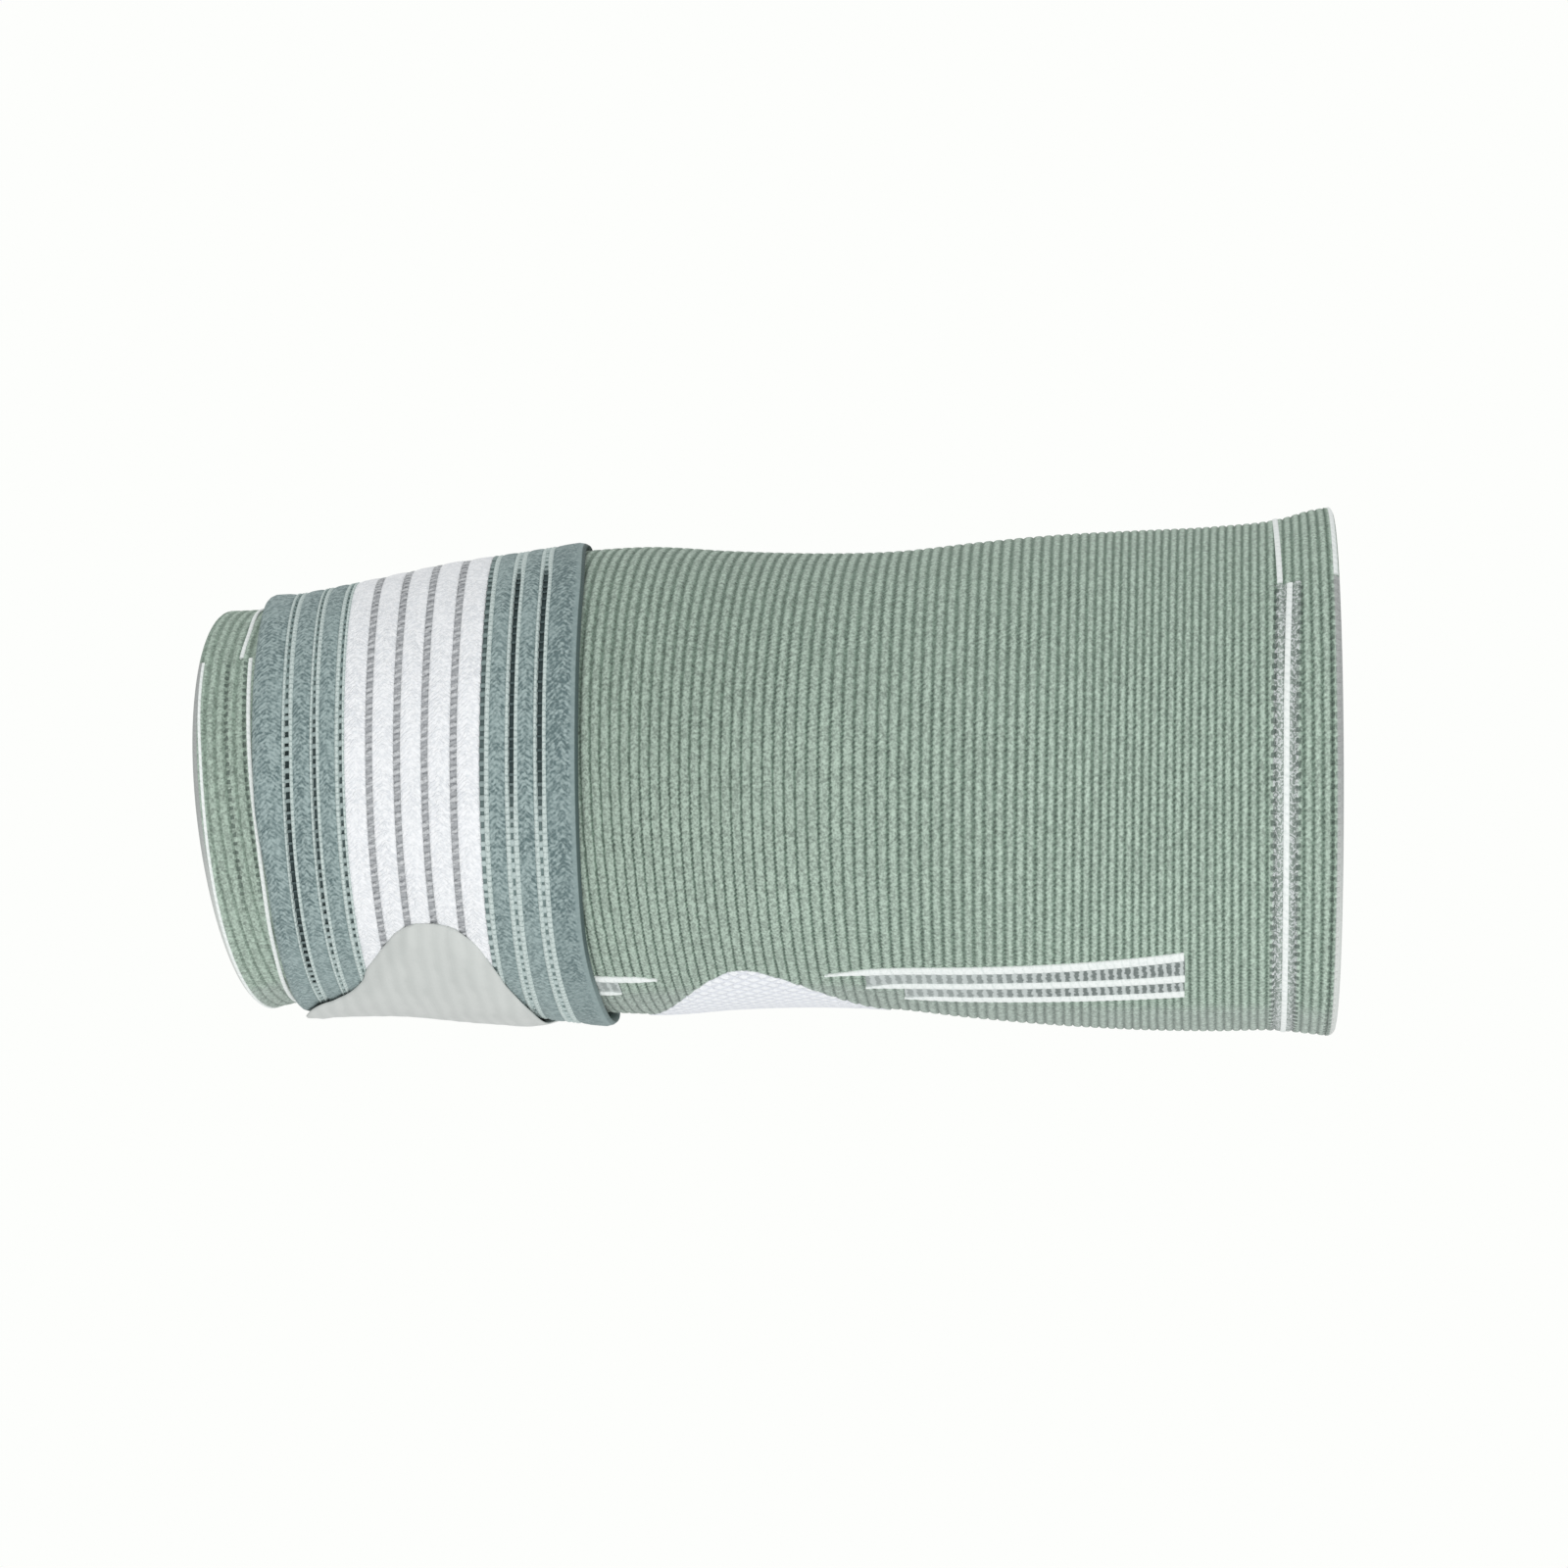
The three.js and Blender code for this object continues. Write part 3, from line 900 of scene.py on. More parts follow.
@dataclass
class KnitSleeve:
    """The ribbed sleeve, with its hems, the white field and the lines and stripes knitted into it."""

    form: ArmForm = FORM
    gauge: RibGauge = GAUGE
    wall: float = 2.2
    hem_wall: float = 3.0
    hem_depth: float = 11.0
    rib_depth: float = 0.36
    lower_round: float = 1.1
    upper_round: float = 1.8
    plain_from: float = 14.0
    plain_to: float = 68.0
    columns: int = 94
    stitches_per_degree: float = 0.8
    degree_mm: float = 0.83
    row_step: float = 0.24
    line_stitch: float = 1.7
    line_sunk: float = 0.35
    stripe_crown: float = 0.45
    stripe_sunk: float = 0.4
    field_flat: float = 0.92
    field_proud: float = 0.25

    def relief(self, along: Array) -> Array:
        """Height of the ribs: 0 on a rib's flat top and -rib_depth in the narrow groove.

        With f from -1 in one groove to 1 in the next, the height is -rib_depth times |f| to the power 3.
        """
        f = 2.0 * np.mod(self.gauge.count(along, self.form.length), 1.0) - 1.0
        return -self.rib_depth * np.abs(f) ** 3.0

    def stations(self, shares: tuple[float, ...], plain: bool) -> Array:
        """Places along the sleeve: some in every rib, and only the groove's under the strap if plain."""
        grooves = self.gauge.grooves(self.form.length)
        places = grooves[:-1, None] + np.diff(grooves)[:, None] * np.array(shares)[None, :]
        if plain:
            hidden = (places > self.plain_from) & (places < self.plain_to)
            hidden[:, 0] = False
            places = places[~hidden]
        places = np.unique(places.ravel())
        low, high = self.lower_round + 0.05, self.form.length - self.upper_round - 0.05
        return places[(places > low) & (places < high)]

    def profile(self) -> tuple[Array, Array, Array]:
        """The section through the wall, from the lower rim up the outside and back down the inside.

        Returns:
            The places along the arm, the heights, and how much the ribs' relief shows, 1 outside and 0 on
            the rims.
        """
        outside = self.stations((0.0, 0.07, 0.18, 0.34, 0.5, 0.66, 0.82, 0.93), plain=True)
        inside = self.stations((0.0, 0.5), plain=False)[::-1]
        from_rim = np.minimum(inside, self.form.length - inside)
        thin = rise(from_rim, self.hem_depth, self.hem_depth + 1.5)
        ribs = self.gauge.count(inside, self.form.length)
        groove = np.abs(2.0 * np.mod(ribs, 1.0) - 1.0)
        inside_height = -self.hem_wall + (self.hem_wall - self.wall) * thin + 0.18 * groove
        angle = np.linspace(0.0, np.pi, 11)
        upper_along = self.form.length - self.upper_round * (1.0 - np.sin(angle))
        lower_along = self.lower_round * (1.0 - np.sin(angle[::-1]))
        round_height = -self.hem_wall / 2 + self.hem_wall / 2 * np.cos(angle)
        along = np.concatenate([outside, upper_along, inside, lower_along])
        height = np.concatenate([self.relief(outside), round_height, inside_height, round_height[::-1]])
        show = np.concatenate([np.ones(len(outside)), np.zeros(len(angle) * 2 + len(inside))])
        return along, height, show

    def rounding(self, along: Array) -> Array:
        """How far each rim's quarter ellipse falls below the ribs' tops at a place along the arm."""
        lower = np.clip(1.0 - along / self.lower_round, 0.0, 1.0)
        upper = np.clip(1.0 - (self.form.length - along) / self.upper_round, 0.0, 1.0)
        return self.hem_wall / 2 * (1.0 - np.sqrt(1.0 - np.maximum(lower, upper) ** 2))

    def turns(self) -> Array:
        """The columns' turns round the arm, with two close together at the jog."""
        even = np.linspace(FIRST_TURN, FIRST_TURN + 360.0, self.columns, endpoint=False)
        even = even[np.abs(even - JOG_TURN) > 0.8]
        return np.sort(np.concatenate([even, [JOG_TURN - 0.2, JOG_TURN + 0.2]]))

    def body(self) -> bpy.types.Object:
        """The tube itself, a closed shell.

        Its points are the wall's profile at each turn. In the white field the ribs fade out by the share
        field_flat, and the cloth stands proud by field_proud.
        """
        along, height, show = self.profile()
        turns = self.turns()
        a, t = along[:, None], turns[None, :]
        field = rise(WHITE_FIELD.depth(a, t), -0.6, 0.8) * show[:, None]
        raised = height[:, None] * (1.0 - self.field_flat * field) + self.field_proud * field
        points = self.form.point(a, t, raised)
        wide = np.append(turns, FIRST_TURN + 360.0)[None, :]
        ribs = self.gauge.count(along, self.form.length)[:, None]
        maps = {
            "Cloth": pair(wide, a),
            "Knit": pair(wide * self.stitches_per_degree, ribs),
            "Hems": pair(a - LOWER_HEM.along(wide), a - UPPER_HEM.along(wide)),
        }
        cloth = Cloth.grid("sleeve_knit", points, maps, (SageKnit(),), rows_close=True)
        return cloth.build("sage_knit", "sleeve")

    def strip(self, name: str, along: Array, turn: Array, height: Array, step: Array, finish: Finish) -> None:
        """A narrow band laid on the sleeve.

        Args:
            name: The piece's name.
            along: Places along the arm by row, and by column across the top and back underneath.
            turn: Turns, in the same order.
            height: Heights, in the same order.
            step: How far each row is along the band, counted in its own stitches.
            finish: The band's finish.
        """
        points = self.form.point(along, turn, height)
        half = points.shape[1] // 2
        across = np.concatenate([np.linspace(0, 1, half), np.linspace(1, 0, half)])
        maps = {"Yarn": pair(step[:, None], across[None, :])}
        Cloth.grid(name, points, maps, (finish,), rows_close=False).build("sage_knit")

    def hem_line(self, line: KnitLine) -> None:
        """A white line round a hem: a low, round band with a small lump for each stitch."""
        turns = np.linspace(line.start, line.end, int(abs(line.start - line.end) * 2))
        x, on_top = band_section(7)
        step = turns * self.degree_mm / self.line_stitch
        lump = 0.75 + 0.25 * np.abs(np.sin(np.pi * step))[:, None]
        width = line.width / 2 * (0.8 + 0.2 * lump)
        along = line.along(turns)[:, None] + x * width
        crown = line.crown * lump * np.sqrt(1.0 - 0.92 * x**2)
        height = np.where(on_top, crown - 0.02, -self.line_sunk) - self.rounding(along)
        self.strip(line.name, along, np.broadcast_to(turns[:, None], along.shape), height, step, WhiteYarn())

    def stripe(self, stripe: WhiteStripe, far_side: bool) -> None:
        """A white stripe: a half-round band that follows its turn along the arm and swells over each rib."""
        low, high = sorted((stripe.tip, stripe.end))
        along = np.arange(low, high, self.row_step)
        turn = stripe.turn(along)
        if far_side:
            turn = 2.0 * LOWEST_TURN - turn
        ribs = self.gauge.count(along, self.form.length)
        groove = np.abs(2.0 * np.mod(ribs, 1.0) - 1.0)[:, None] ** 2
        from_tip = np.abs(along - stripe.tip)
        full = (0.25 + 0.75 * rise(from_tip, 0.0, stripe.taper))[:, None]
        width = stripe.width * full * (1.0 - 0.06 * groove)
        x, on_top = band_section(9)
        turns = turn[:, None] + x * width / 2 / self.degree_mm
        crown = self.stripe_crown * np.sqrt(1.0 - 0.95 * x**2) - 0.07 * groove
        height = np.where(on_top, crown, -self.stripe_sunk)
        name = stripe.name + ("_back" if far_side else "")
        self.strip(name, np.broadcast_to(along[:, None], turns.shape), turns, height, ribs, WhiteYarn())

    def floats(self, name: str, one: WhiteStripe, two: WhiteStripe, far_side: bool) -> None:
        """The row of short grey threads that fills the gap between two stripes."""
        low = max(min(one.tip, one.end), min(two.tip, two.end))
        high = min(max(one.tip, one.end), max(two.tip, two.end))
        along = np.arange(low + 0.2, high, self.row_step)
        gap = one.turn(along) - two.turn(along)
        turn = (one.turn(along) + two.turn(along)) / 2
        if far_side:
            turn = 2.0 * LOWEST_TURN - turn
        ribs = self.gauge.count(along, self.form.length)
        groove = np.abs(2.0 * np.mod(ribs, 1.0) - 1.0)[:, None] ** 2
        x, on_top = band_section(7)
        turns = turn[:, None] + x * (np.abs(gap) / 2)[:, None]
        height = np.where(on_top, 0.1 - 0.1 * groove, -self.stripe_sunk)
        self.strip(name, np.broadcast_to(along[:, None], turns.shape), turns, height, ribs, GreyFloats())

    def build(self) -> bpy.types.Object:
        """Builds the sleeve and all that is knitted into it, and returns the sleeve."""
        body = self.body()
        for line in (LOWER_HEM, UPPER_HEM, LOWER_RIM, UPPER_RIM):
            self.hem_line(line)
        for far_side in (False, True):
            end = "_back" if far_side else ""
            for stripe in STRIPES:
                self.stripe(stripe, far_side)
            for name, first in (("upper_floats_1", 0), ("upper_floats_2", 1), ("lower_floats", 3)):
                self.floats(name + end, STRIPES[first], STRIPES[first + 1], far_side)
        return body


class Band(Enum):
    """What a band across the strap is made of, with its height above the strap's face and its crown."""

    BLUE = (-0.1, 0.32)
    WHITE = (-0.02, 0.2)
    EDGE = (-0.12, 0.3)
    SLOT = (-1.0, 0.0)
    DASH = (-0.3, 0.0)

    @property
    def floor(self) -> float:
        """Height of the band's sides above the strap's face."""
        return self.value[0]

    @property
    def crown(self) -> float:
        """How much higher its middle is."""
        return self.value[1]


BANDS = (
    (Band.BLUE, 5.7),
    (Band.EDGE, 6.2),
    (Band.SLOT, 7.25),
    (Band.EDGE, 7.95),
    (Band.BLUE, 11.45),
    (Band.EDGE, 11.95),
    (Band.SLOT, 12.85),
    (Band.EDGE, 13.5),
    (Band.BLUE, 16.7),
    (Band.EDGE, 17.4),
    (Band.SLOT, 18.35),
    (Band.EDGE, 18.8),
    (Band.WHITE, 23.1),
    (Band.DASH, 24.5),
    (Band.WHITE, 28.8),
    (Band.DASH, 30.2),
    (Band.WHITE, 34.4),
    (Band.DASH, 35.8),
    (Band.WHITE, 40.2),
    (Band.DASH, 41.6),
    (Band.WHITE, 45.9),
    (Band.SLOT, 47.2),
    (Band.EDGE, 47.95),
    (Band.BLUE, 51.15),
    (Band.EDGE, 51.85),
    (Band.SLOT, 52.95),
    (Band.EDGE, 53.7),
    (Band.BLUE, 56.9),
    (Band.EDGE, 57.55),
    (Band.SLOT, 58.7),
    (Band.EDGE, 59.45),
    (Band.BLUE, 66.0),
)


def bands_of(kind: Band) -> Array:
    """Where across the strap the bands of one kind begin, and where they end, as two rows."""
    lows = [0.0] + [high for _, high in BANDS[:-1]]
    return np.array([(low, high) for low, (found, high) in zip(lows, BANDS) if found is kind]).T


@dataclass(frozen=True)
class OpenLine:
    """Where the strap's open lines show dark with painted shade: near the hand in front, and near the elbow
    above the front.
    """

    split_across: float = 45.0
    hand_turn: float = -24.0
    hand_reach: float = 46.0
    elbow_turn: float = -6.0
    elbow_soft: float = 12.0
    elbow_top: float = 58.0
    step_down: float = 18.0
    fade_in: tuple[float, float] = (-80.0, -50.0)
    fade_out: tuple[float, float] = (10.0, 38.0)

    def lower(self, turn: Array, across: Array) -> Array:
        """The turn as each line near the hand counts it: the first opens step_down lower than the others."""
        return turn - np.interp(across, [8.0, 11.0], [0.0, self.step_down])

    def stretch(self, turn: Array, across: Array) -> Array:
        """0 where threads close a line and 1 where it is stretched so far that they sink into it."""
        hand = bump(self.lower(turn, across), self.hand_turn, self.hand_reach) * self.strength(across) ** 2
        elbow = rise(turn, self.elbow_turn - self.elbow_soft, self.elbow_turn + self.elbow_soft)
        elbow = elbow * (1.0 - rise(turn, self.elbow_top, self.elbow_top + 10.0)) * self.strength(across)
        return np.where(across < self.split_across, hand, elbow)

    def dark(self, turn: Array, across: Array) -> Array:
        """0 where the gaps between a line's threads are closed and 1 where they are wide and dark with painted
        shade.
        """
        hand = rise(self.lower(turn, across), *self.fade_in) * (1.0 - rise(turn, *self.fade_out))
        return np.where(across < self.split_across, hand * self.strength(across), self.stretch(turn, across))

    def pale(self, turn: Array, across: Array) -> Array:
        """How pale a line's own threads are, from 0 to 1."""
        elbow = 1.0 - 0.8 * rise(turn, -15.0, 10.0) * (1.0 - rise(across, 48.0, 50.0))
        return np.where(across < self.split_across, 0.8 * (1.0 - rise(turn, 12.0, 40.0)), elbow)

    def strength(self, across: Array) -> Array:
        """How far a line can open: least beside the white stripes."""
        lines = [8.0, 11.0, 14.0, 17.0, 20.0, 46.0, 49.0, 51.0]
        return np.interp(across, lines, [1.0, 0.8, 0.8, 0.5, 0.5, 0.35, 0.35, 1.0])


OPEN_LINE = OpenLine()


@dataclass
class ElasticStrap:
    """The striped elastic strap, wound once round the sleeve and then over its own start."""

    form: ArmForm = FORM
    width: float = 66.0
    thickness: float = 1.45
    middle: float = 41.0
    front_shift: float = 4.7
    top_shift: float = 1.25
    twist_shift: float = 0.6
    tuck: float = 1.1
    corner: float = 3.0
    front_pull: float = 0.1
    top_pull: float = 1.0
    overhang: float = 0.5
    pinch: float = 0.28
    thinned: float = 0.38
    start_turn: float = -127.5
    end_turn: float = 247.5
    rise_from: float = 195.0
    rise_to: float = 225.0
    gap: float = 0.3
    second_layer: float = 1.9
    degree_mm: float = 0.79
    rung_pitch: float = 2.2
    dash_pitch: float = 2.05
    dash_slant: float = 0.7
    closed_rise: float = 0.6

    def edge(self, turn: Array, across: Array) -> Array:
        """Place along the arm of a distance across the strap.

        The middle line wanders as it goes round: its shift is a cosine and a sine of the turn, and a sine of
        twice the turn that fades towards the edge nearer the elbow. That edge is drawn in by front_pull at
        the front, by top_pull more on top, and runs out by corner below. The other edge's band stands out
        by overhang above the front and is drawn in by tuck below it.
        """
        angle = np.radians(turn)
        middle = self.middle + self.front_shift * np.cos(angle) + self.top_shift * np.sin(angle)
        middle = middle + self.twist_shift * np.sin(2.0 * angle) * (1.0 - rise(across, 44.0, self.width))
        front_turn = np.mod(turn + 180.0, 360.0) - 180.0
        seen = 1.0 - rise(-front_turn, 95.0, 130.0)
        drawn_in = self.tuck * rise(-front_turn, 0.0, 24.0) * seen
        run_out = self.corner * rise(-front_turn, 34.0, 94.0) * seen
        pulled = self.front_pull * rise(front_turn, -80.0, -20.0)
        pulled = pulled + self.top_pull * rise(front_turn, 50.0, 85.0)
        pulled = pulled * (1.0 - rise(front_turn, 100.0, 150.0)) * rise(across, 44.0, self.width)
        first_band = np.clip(1.0 - across / BANDS[0][1], 0.0, 1.0)
        hand_side = (drawn_in - self.overhang * bump(front_turn, 25.0, 60.0)) * first_band
        elbow_side = run_out * rise(across, 50.0, self.width) - pulled
        return middle + across - self.width / 2 + hand_side + elbow_side

    def pinched(self, turn: Array, across: Array) -> Array:
        """A distance across, drawn towards the middle of the nearest open line where that line is closed."""
        middles = bands_of(Band.SLOT).mean(axis=0)
        nearest = middles[np.argmin(np.abs(across[..., None] - middles), axis=-1)]
        off = across - nearest
        drawn = np.interp(np.abs(off), (0.0, 0.55, 1.3), (0.0, self.pinch, 0.0))
        return across - np.sign(off) * drawn * (1.0 - OPEN_LINE.dark(turn, nearest))

    def lift(self, turn: Array) -> Array:
        """Height of the strap's underside: on the sleeve, then up over its own start."""
        return self.gap + self.second_layer * rise(turn, self.rise_from, self.rise_to)

    def flare(self, turn: Array, across: Array) -> Array:
        """How far the strap's edges stand off: both of them below, and the one nearer the hand on top."""
        near_edge = rise(across / self.width, 0.8, 1.0)
        far_edge = rise(1.0 - across / self.width, 0.88, 1.0)
        below = near_edge * bump(turn, -74.0, 24.0) * 0.1 + far_edge * bump(turn, -78.0, 24.0) * 0.7
        below = below + rise(across / self.width, 0.3, 0.6) * bump(turn, -84.0, 26.0) * 0.9
        return below + far_edge * bump(turn, 80.0, 35.0) * 0.8

    def place(self, turn: Array, across: Array, height: Array) -> Array:
        """Points at a height above the underside; on top the cloth is stretched thin at its open lines."""
        turn, across, height = np.broadcast_arrays(turn, across, height)
        height = height * (1.0 - self.thinned * bump(turn, 85.0, 45.0) * bump(across, 52.0, 19.0))
        along = self.edge(turn, self.pinched(turn, across))
        return self.form.point(along, turn, self.lift(turn) + self.flare(turn, across) + height)

    def section(self) -> tuple[Array, Array, Array, Array]:
        """The strap's section: across its face band by band, and back along its underside.

        A band's height is that of its sides plus its crown times 1 - x^4, with x from -1 to 1 across it.

        Returns:
            Distances across, heights above the underside, the band's number for each point, and the
            distance from its band's middle.
        """
        x = np.array([-1.0, -0.8, -0.45, 0.0, 0.45, 0.8, 1.0])
        kinds = list(Band)
        across, height, owner, off = [], [], [], []
        low = 0.0
        for kind, high in BANDS:
            middle, half = (low + high) / 2, (high - low) / 2
            across.append(middle + x * (half - 0.015))
            shape = 1.0 - x**2 if kind is Band.EDGE else 1.0 - x**4
            height.append(self.thickness + kind.floor + kind.crown * shape)
            owner.append(np.full(len(x), kinds.index(kind)))
            off.append(x * half)
            low = high
        top, heights = np.concatenate(across), np.concatenate(height)
        heights[0] = heights[-1] = self.thickness * 0.55
        heights[1] -= 0.25
        heights[-2] -= 0.25
        under = top[::-1]
        under_heights = np.zeros(len(under))
        under_heights[0] = under_heights[-1] = self.thickness * 0.4
        owners = np.concatenate([*owner, np.zeros(len(under), int)])
        offs = np.concatenate([*off, np.zeros(len(under))])
        return np.concatenate([top, under]), np.concatenate([heights, under_heights]), owners, offs

    def webbing(self) -> bpy.types.Object:
        """The strap itself, a closed band."""
        across, height, owner, off = self.section()
        turns = np.arange(self.start_turn, self.end_turn + 0.01, 1.875)[:, None]
        is_slot = owner == list(Band).index(Band.SLOT)
        # Painted shade in the open lines, carried to the finishes by the Open map.
        dark = OPEN_LINE.dark(turns, across[None, :])
        closed = np.where(is_slot[None, :], 1.0 - dark, 0.0)
        points = self.place(turns, across[None, :], height[None, :] + self.closed_rise * closed)
        around = turns * self.degree_mm
        maps = {
            "Weave": pair(around, across[None, :]),
            "Band": pair(around, off[None, :]),
            "Open": pair(dark, OPEN_LINE.pale(turns, across[None, :])),
        }
        finishes = (
            Webbing(),
            Webbing(
                name="white_webbing",
                yarn=linear(247, 249, 251),
                shadow=linear(226, 230, 234),
                pitch=0.9,
                contrast=0.25,
            ),
            Thread(),
            ShadedSlotThread(),
            Thread(name="dash_ground", yarn=linear(178, 181, 184), shadow=linear(128, 131, 135)),
        )
        cloth = Cloth.grid("strap_webbing", points, maps, finishes, rows_close=False, finish_of=owner)
        return cloth.build("striped_elastic", "compression_strap")

    def rungs(self, name: str, kind: Band, pitch: float, reach: tuple[float, float], finish: Finish) -> None:
        """The short threads that cross each line of one kind.

        A thread arches over its line, 0.2 mm higher in the middle than at its ends. Where the line is
        stretched open the threads thin to half and sink into it.

        Args:
            name: The piece's name.
            kind: The kind of line.
            pitch: How far apart the threads are.
            reach: The threads' half thicknesses, round the arm and outwards.
            finish: Their finish.
        """
        low, high = bands_of(kind)[:, :, None]
        count = int((self.end_turn - self.start_turn - 2.0) * self.degree_mm / pitch)
        turns = self.start_turn + 1.5 + np.arange(count) * pitch / self.degree_mm
        ends = np.broadcast_arrays(low - 0.12, high + 0.12, turns[None, :])
        low, high, turn = (part.ravel() for part in ends)
        jitter = 0.16 * pitch * np.sin(turn * 12.9 + low * 7.1)
        # Stretched open, a line's threads are darkened by painted shade through the Open map.
        opened = OPEN_LINE.stretch(turn, low) if kind is Band.SLOT else np.zeros(len(turn))
        opened = opened[:, None, None]
        share = np.linspace(0.0, 1.0, 5)[None, :, None]
        across = low[:, None, None] + (high - low)[:, None, None] * share
        arch = 4.0 * share * (1.0 - share)
        thin = (1.0 - 0.6 * opened) * (1.0 + 0.2 * np.sin(turn * 5.3 + low * 3.7))[:, None, None]
        height = self.thickness - 0.42 + 0.2 * arch - 0.55 * opened * arch + thin * reach[1] * np.sin(RING)
        slant = (share - 0.5) * (self.dash_slant if kind is Band.DASH else 0.0)
        around = (turn + jitter)[:, None, None] + (slant + thin * reach[0] * np.cos(RING)) / self.degree_mm
        across, height, around, opened = np.broadcast_arrays(across, height, around, opened)
        points = self.place(around, across, height)
        maps = {
            "Weave": pair(around * self.degree_mm, across),
            "Open": pair(opened, OPEN_LINE.pale(around, across)),
        }
        Cloth.tubes(name, points, maps, (finish,)).build("striped_elastic")

    def build(self) -> bpy.types.Object:
        """Builds the strap and the threads across its open lines, and returns the strap."""
        strap = self.webbing()
        slot = ShadedSlotThread(
            name="ladder_thread",
            dark=linear(80, 96, 97),
            closed=linear(132, 150, 148),
            pale=linear(184, 199, 197),
        )
        dash = Thread(name="stripe_thread", yarn=linear(204, 207, 209), shadow=linear(132, 134, 138))
        self.rungs("ladder_rungs", Band.SLOT, self.rung_pitch, (0.66, 0.36), slot)
        self.rungs("stripe_rungs", Band.DASH, self.dash_pitch, (0.55, 0.3), dash)
        return strap


@dataclass(frozen=True)
class TabRow:
    """A row of the tab's outline: reach from its tip to the strap's end, and its edges across the strap."""

    reach: float
    left: float
    right: float


TAB_OUTLINE = (
    TabRow(0.0, 0.475, 0.53),
    TabRow(0.01, 0.448, 0.575),
    TabRow(0.04, 0.405, 0.616),
    TabRow(0.08, 0.375, 0.652),
    TabRow(0.15, 0.33, 0.685),
    TabRow(0.23, 0.285, 0.713),
    TabRow(0.3, 0.262, 0.73),
    TabRow(0.38, 0.211, 0.76),
    TabRow(0.45, 0.143, 0.785),
    TabRow(0.53, 0.055, 0.8),
    TabRow(0.62, 0.01, 0.81),
    TabRow(0.72, 0.0, 0.82),
    TabRow(0.86, 0.0, 0.87),
    TabRow(1.0, 0.0, 1.0),
)


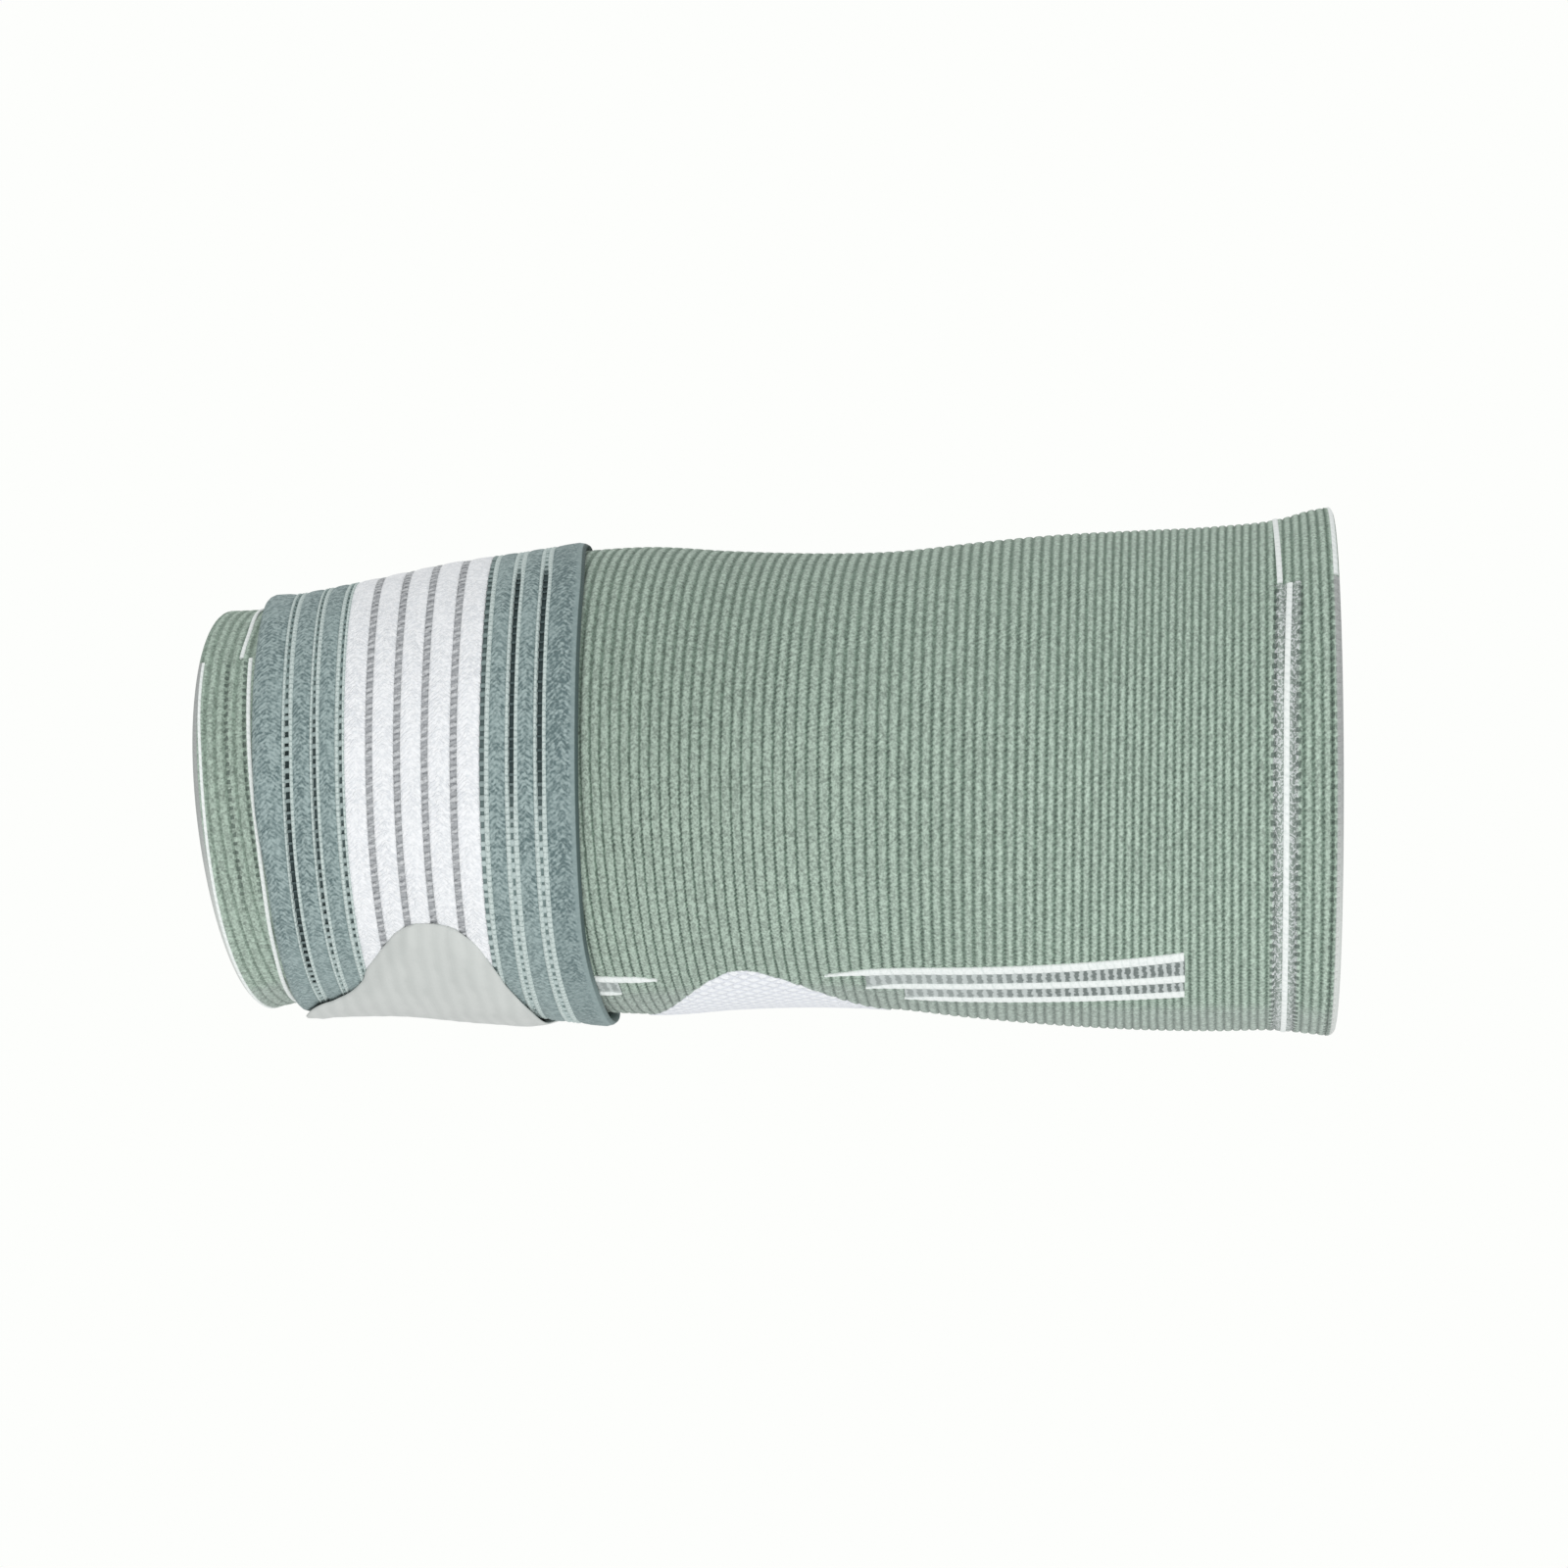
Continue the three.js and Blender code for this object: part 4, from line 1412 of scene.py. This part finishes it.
@dataclass
class FasteningTab:
    """The satin tab at the strap's end, the hook patch under it and the stitches that hold it on."""

    strap: ElasticStrap
    tip_turn: float = 323.5
    cover: float = 0.62
    hooks: float = 0.7
    inset: float = 5.0
    edge_floor: float = 1.82
    edge_gap: float = 0.75
    edge_round: float = 1.0
    press_reach: float = 5.0
    stitch_count: int = 44
    stitch_half: float = 0.16

    def layer(self, name: str, floor: float, thickness: float, inset: float, finish: Finish) -> Cloth:
        """One layer of the tab, lying on the strap.

        Each row runs across the tab from edge to edge at one reach from the tip. The layer falls towards the
        strap near its outline, by a smooth step over the press reach, and its upper edge is rounded by a
        quarter circle. Away from the tip the outline stands off the strap by edge_gap.

        Args:
            name: The piece's name.
            floor: Height of its underside above the sleeve's ribs, over the hook patch.
            thickness: Its thickness.
            inset: How far its edge is set in from the tab's outline.
            finish: Its finish.

        Returns:
            The piece.
        """
        inset_turn = inset / self.strap.degree_mm
        base = self.strap.end_turn + self.strap.gap / self.strap.degree_mm
        span = self.tip_turn - self.strap.end_turn
        turns = base + (self.tip_turn - inset_turn - base) * np.sin(np.linspace(0.0, np.pi / 2, 110))
        reach = (self.tip_turn - turns) / span
        rows = np.array([[row.left, row.right] for row in TAB_OUTLINE])
        edges = through(np.array([row.reach for row in TAB_OUTLINE]), rows, reach) * self.strap.width
        across = np.sin(np.linspace(-np.pi / 2, np.pi / 2, 45)) * 0.5 + 0.5
        left, right = edges[:, :1] + inset, edges[:, 1:] - inset
        top = left + (right - left) * across[None, :]
        from_edge = np.minimum(top - left, right - top)
        from_tip = ((self.tip_turn - inset_turn - turns) * self.strap.degree_mm)[:, None]
        near = np.minimum(from_edge, from_tip)
        round_off = np.sqrt(1.0 - (1.0 - np.clip(near / self.edge_round, 0.0, 1.0)) ** 2)
        rim = self.edge_floor + self.edge_gap * rise(reach, 0.25, 0.5)[:, None]
        pressed = floor - (floor - rim) * (1.0 - rise(near, 0.0, self.press_reach))
        upper = pressed + thickness * (0.15 + 0.85 * round_off)
        lower = pressed + thickness * 0.1 * (1.0 - round_off)
        sections = np.concatenate([top, top[:, ::-1]], axis=1)
        heights = np.concatenate([upper, lower[:, ::-1]], axis=1)
        turn = np.broadcast_to(turns[:, None], sections.shape)
        puff = 0.1 * np.sin(sections * 0.75 + 1.0) * np.sin(turn / 5.0)
        heights = heights + np.abs(puff) + self.strap.flare(turn - 360.0, sections)
        points = self.strap.form.point(self.strap.edge(turn, sections), turn, heights)
        maps = {"Weave": pair(turn * self.strap.degree_mm, sections)}
        return Cloth.grid(name, points, maps, (finish,), rows_close=False)

    def stitches(self, floor: float) -> bpy.types.Object:
        """Zigzag stitches that join the tab to the strap's end."""
        share = np.linspace(0.0, 1.0, 5)[None, :, None]
        number = np.arange(self.stitch_count)[:, None, None]
        zig = np.where(number % 2 == 0, share, 1.0 - share)
        turn = self.strap.end_turn - 2.4 + 5.2 * zig
        across = 1.2 + (number + share) * (self.strap.width - 2.4) / self.stitch_count
        centre = floor + 0.1 * rise(turn, self.strap.end_turn - 0.4, self.strap.end_turn + 0.8)
        turn, across, centre, ring = np.broadcast_arrays(turn, across, centre, RING)
        along = self.strap.edge(turn, across + self.stitch_half * np.cos(ring))
        points = self.strap.form.point(along, turn, centre + self.stitch_half * np.sin(ring))
        maps = {"Weave": pair(turn * self.strap.degree_mm, across)}
        thread = Thread(name="seam_thread", yarn=linear(196, 202, 199), shadow=linear(160, 167, 164))
        return Cloth.tubes("seam_stitches", points, maps, (thread,)).build("tab_cloth")

    def build(self) -> bpy.types.Object:
        """Builds the hook patch, the tab and its stitches, and returns the tab."""
        hook_floor = self.strap.gap + self.strap.second_layer + 0.1
        tab_floor = hook_floor + self.hooks + 0.35
        hooks = self.layer("hook_tape", hook_floor, self.hooks, self.inset, HookTape())
        hooks.build("hook_tape", "hook_patch")
        cover = self.layer("satin_tab", tab_floor, self.cover, 0.0, SatinCloth())
        tab = cover.build("tab_cloth", "fastening_tab")
        self.stitches(self.strap.gap + self.strap.second_layer + self.strap.thickness)
        return tab


@dataclass
class Studio:
    """A pale floor that sweeps up into a wall all round, soft lights, and the camera.

    The paper glows evenly, as a lit white sweep does, and lights nothing itself: the air and the lamps do.
    """

    floor_level: float = -1.25
    radius: float = 3.2
    bend: float = 0.8
    sides: int = 96
    wall_top: float = 3.0
    camera_azimuth: float = 6.0
    camera_distance: float = 1.1
    lens: float = 123.5
    target: tuple[float, float, float] = (0.0004, 0.0, -0.0008)
    paper: Colour = linear(253, 254, 252)

    def floor(self) -> None:
        """The floor and the wall: a profile of a line, a quarter circle and a line, turned about Z."""
        angle = np.linspace(0.0, np.pi / 2, 17)
        flat = self.radius - self.bend
        out = np.concatenate([[0.02, flat], flat + self.bend * np.sin(angle), [self.radius]])
        wall = self.wall_top - self.floor_level
        up = np.concatenate([[0.0, 0.0], self.bend * (1.0 - np.cos(angle)), [wall]])
        turn = np.linspace(0.0, 2 * np.pi, self.sides, endpoint=False)[None, :]
        x, y = out[:, None] * np.cos(turn), out[:, None] * np.sin(turn)
        z = np.broadcast_to(up[:, None] + self.floor_level, x.shape)
        points = np.stack([x, y, z], axis=-1).reshape(-1, 3)
        mesh = bpy.data.meshes.new("studio_floor")
        mesh.from_pydata(points, [], sheet_faces(len(out), self.sides, False))
        mesh.polygons.foreach_set("use_smooth", np.ones(len(mesh.polygons), bool))
        material = bpy.data.materials.new("studio_paper")
        material.use_nodes = True
        shader = material.node_tree.nodes["Principled BSDF"]
        shader.inputs["Base Color"].default_value = (0.0, 0.0, 0.0, 1.0)
        shader.inputs["Specular IOR Level"].default_value = 0.0
        shader.inputs["Emission Color"].default_value = (*self.paper, 1.0)
        shader.inputs["Emission Strength"].default_value = 1.0
        mesh.materials.append(material)
        floor = bpy.data.objects.new("studio_floor", mesh)
        floor.visible_diffuse = False
        floor.visible_glossy = False
        floor.visible_shadow = False
        bpy.context.scene.collection.objects.link(floor)

    def light(self, name: str, place: tuple[float, float, float], size: float, power: float) -> None:
        """A square soft light that faces the sleeve."""
        data = bpy.data.lights.new(name, "AREA")
        data.size = size
        data.energy = power
        lamp = bpy.data.objects.new(name, data)
        lamp.location = place
        x, y, z = place
        flat = math.hypot(x, y)
        lamp.rotation_euler = (math.atan2(flat, z), 0.0, math.atan2(y, x) + math.pi / 2)
        bpy.context.scene.collection.objects.link(lamp)

    def camera(self) -> None:
        """The camera, level with the arm and a little towards its upper end, as in the photograph."""
        turn = math.radians(self.camera_azimuth)
        data = bpy.data.cameras.new("camera")
        data.lens = self.lens
        data.sensor_width = 36.0
        camera = bpy.data.objects.new("camera", data)
        x, y, z = self.target
        camera.location = (
            x + self.camera_distance * math.sin(turn),
            y - self.camera_distance * math.cos(turn),
            z,
        )
        camera.rotation_euler = (math.pi / 2, 0.0, turn)
        bpy.context.scene.collection.objects.link(camera)
        bpy.context.scene.camera = camera

    def build(self) -> None:
        """Sets up the camera, the floor, the lights and plain colours."""
        self.camera()
        self.floor()
        scene = bpy.context.scene
        scene.world = bpy.data.worlds.new("studio_air")
        scene.world.use_nodes = True
        air = scene.world.node_tree.nodes["Background"]
        air.inputs["Color"].default_value = (1.0, 1.0, 1.0, 1.0)
        air.inputs["Strength"].default_value = 0.72
        self.light("front_light", (0.5, -1.6, -1.0), 1.4, 15.0)
        self.light("top_light", (-0.6, -0.9, 1.7), 1.2, 6.5)
        scene.view_settings.view_transform = "Standard"


def main() -> None:
    """Loads the frame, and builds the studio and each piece."""
    logging.basicConfig(level=logging.INFO, format="%(name)s: %(message)s")
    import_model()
    Studio().build()
    sleeve = KnitSleeve().build()
    strap = ElasticStrap()
    webbing = strap.build()
    tab = FasteningTab(strap).build()


if __name__ == "__main__":
    main()
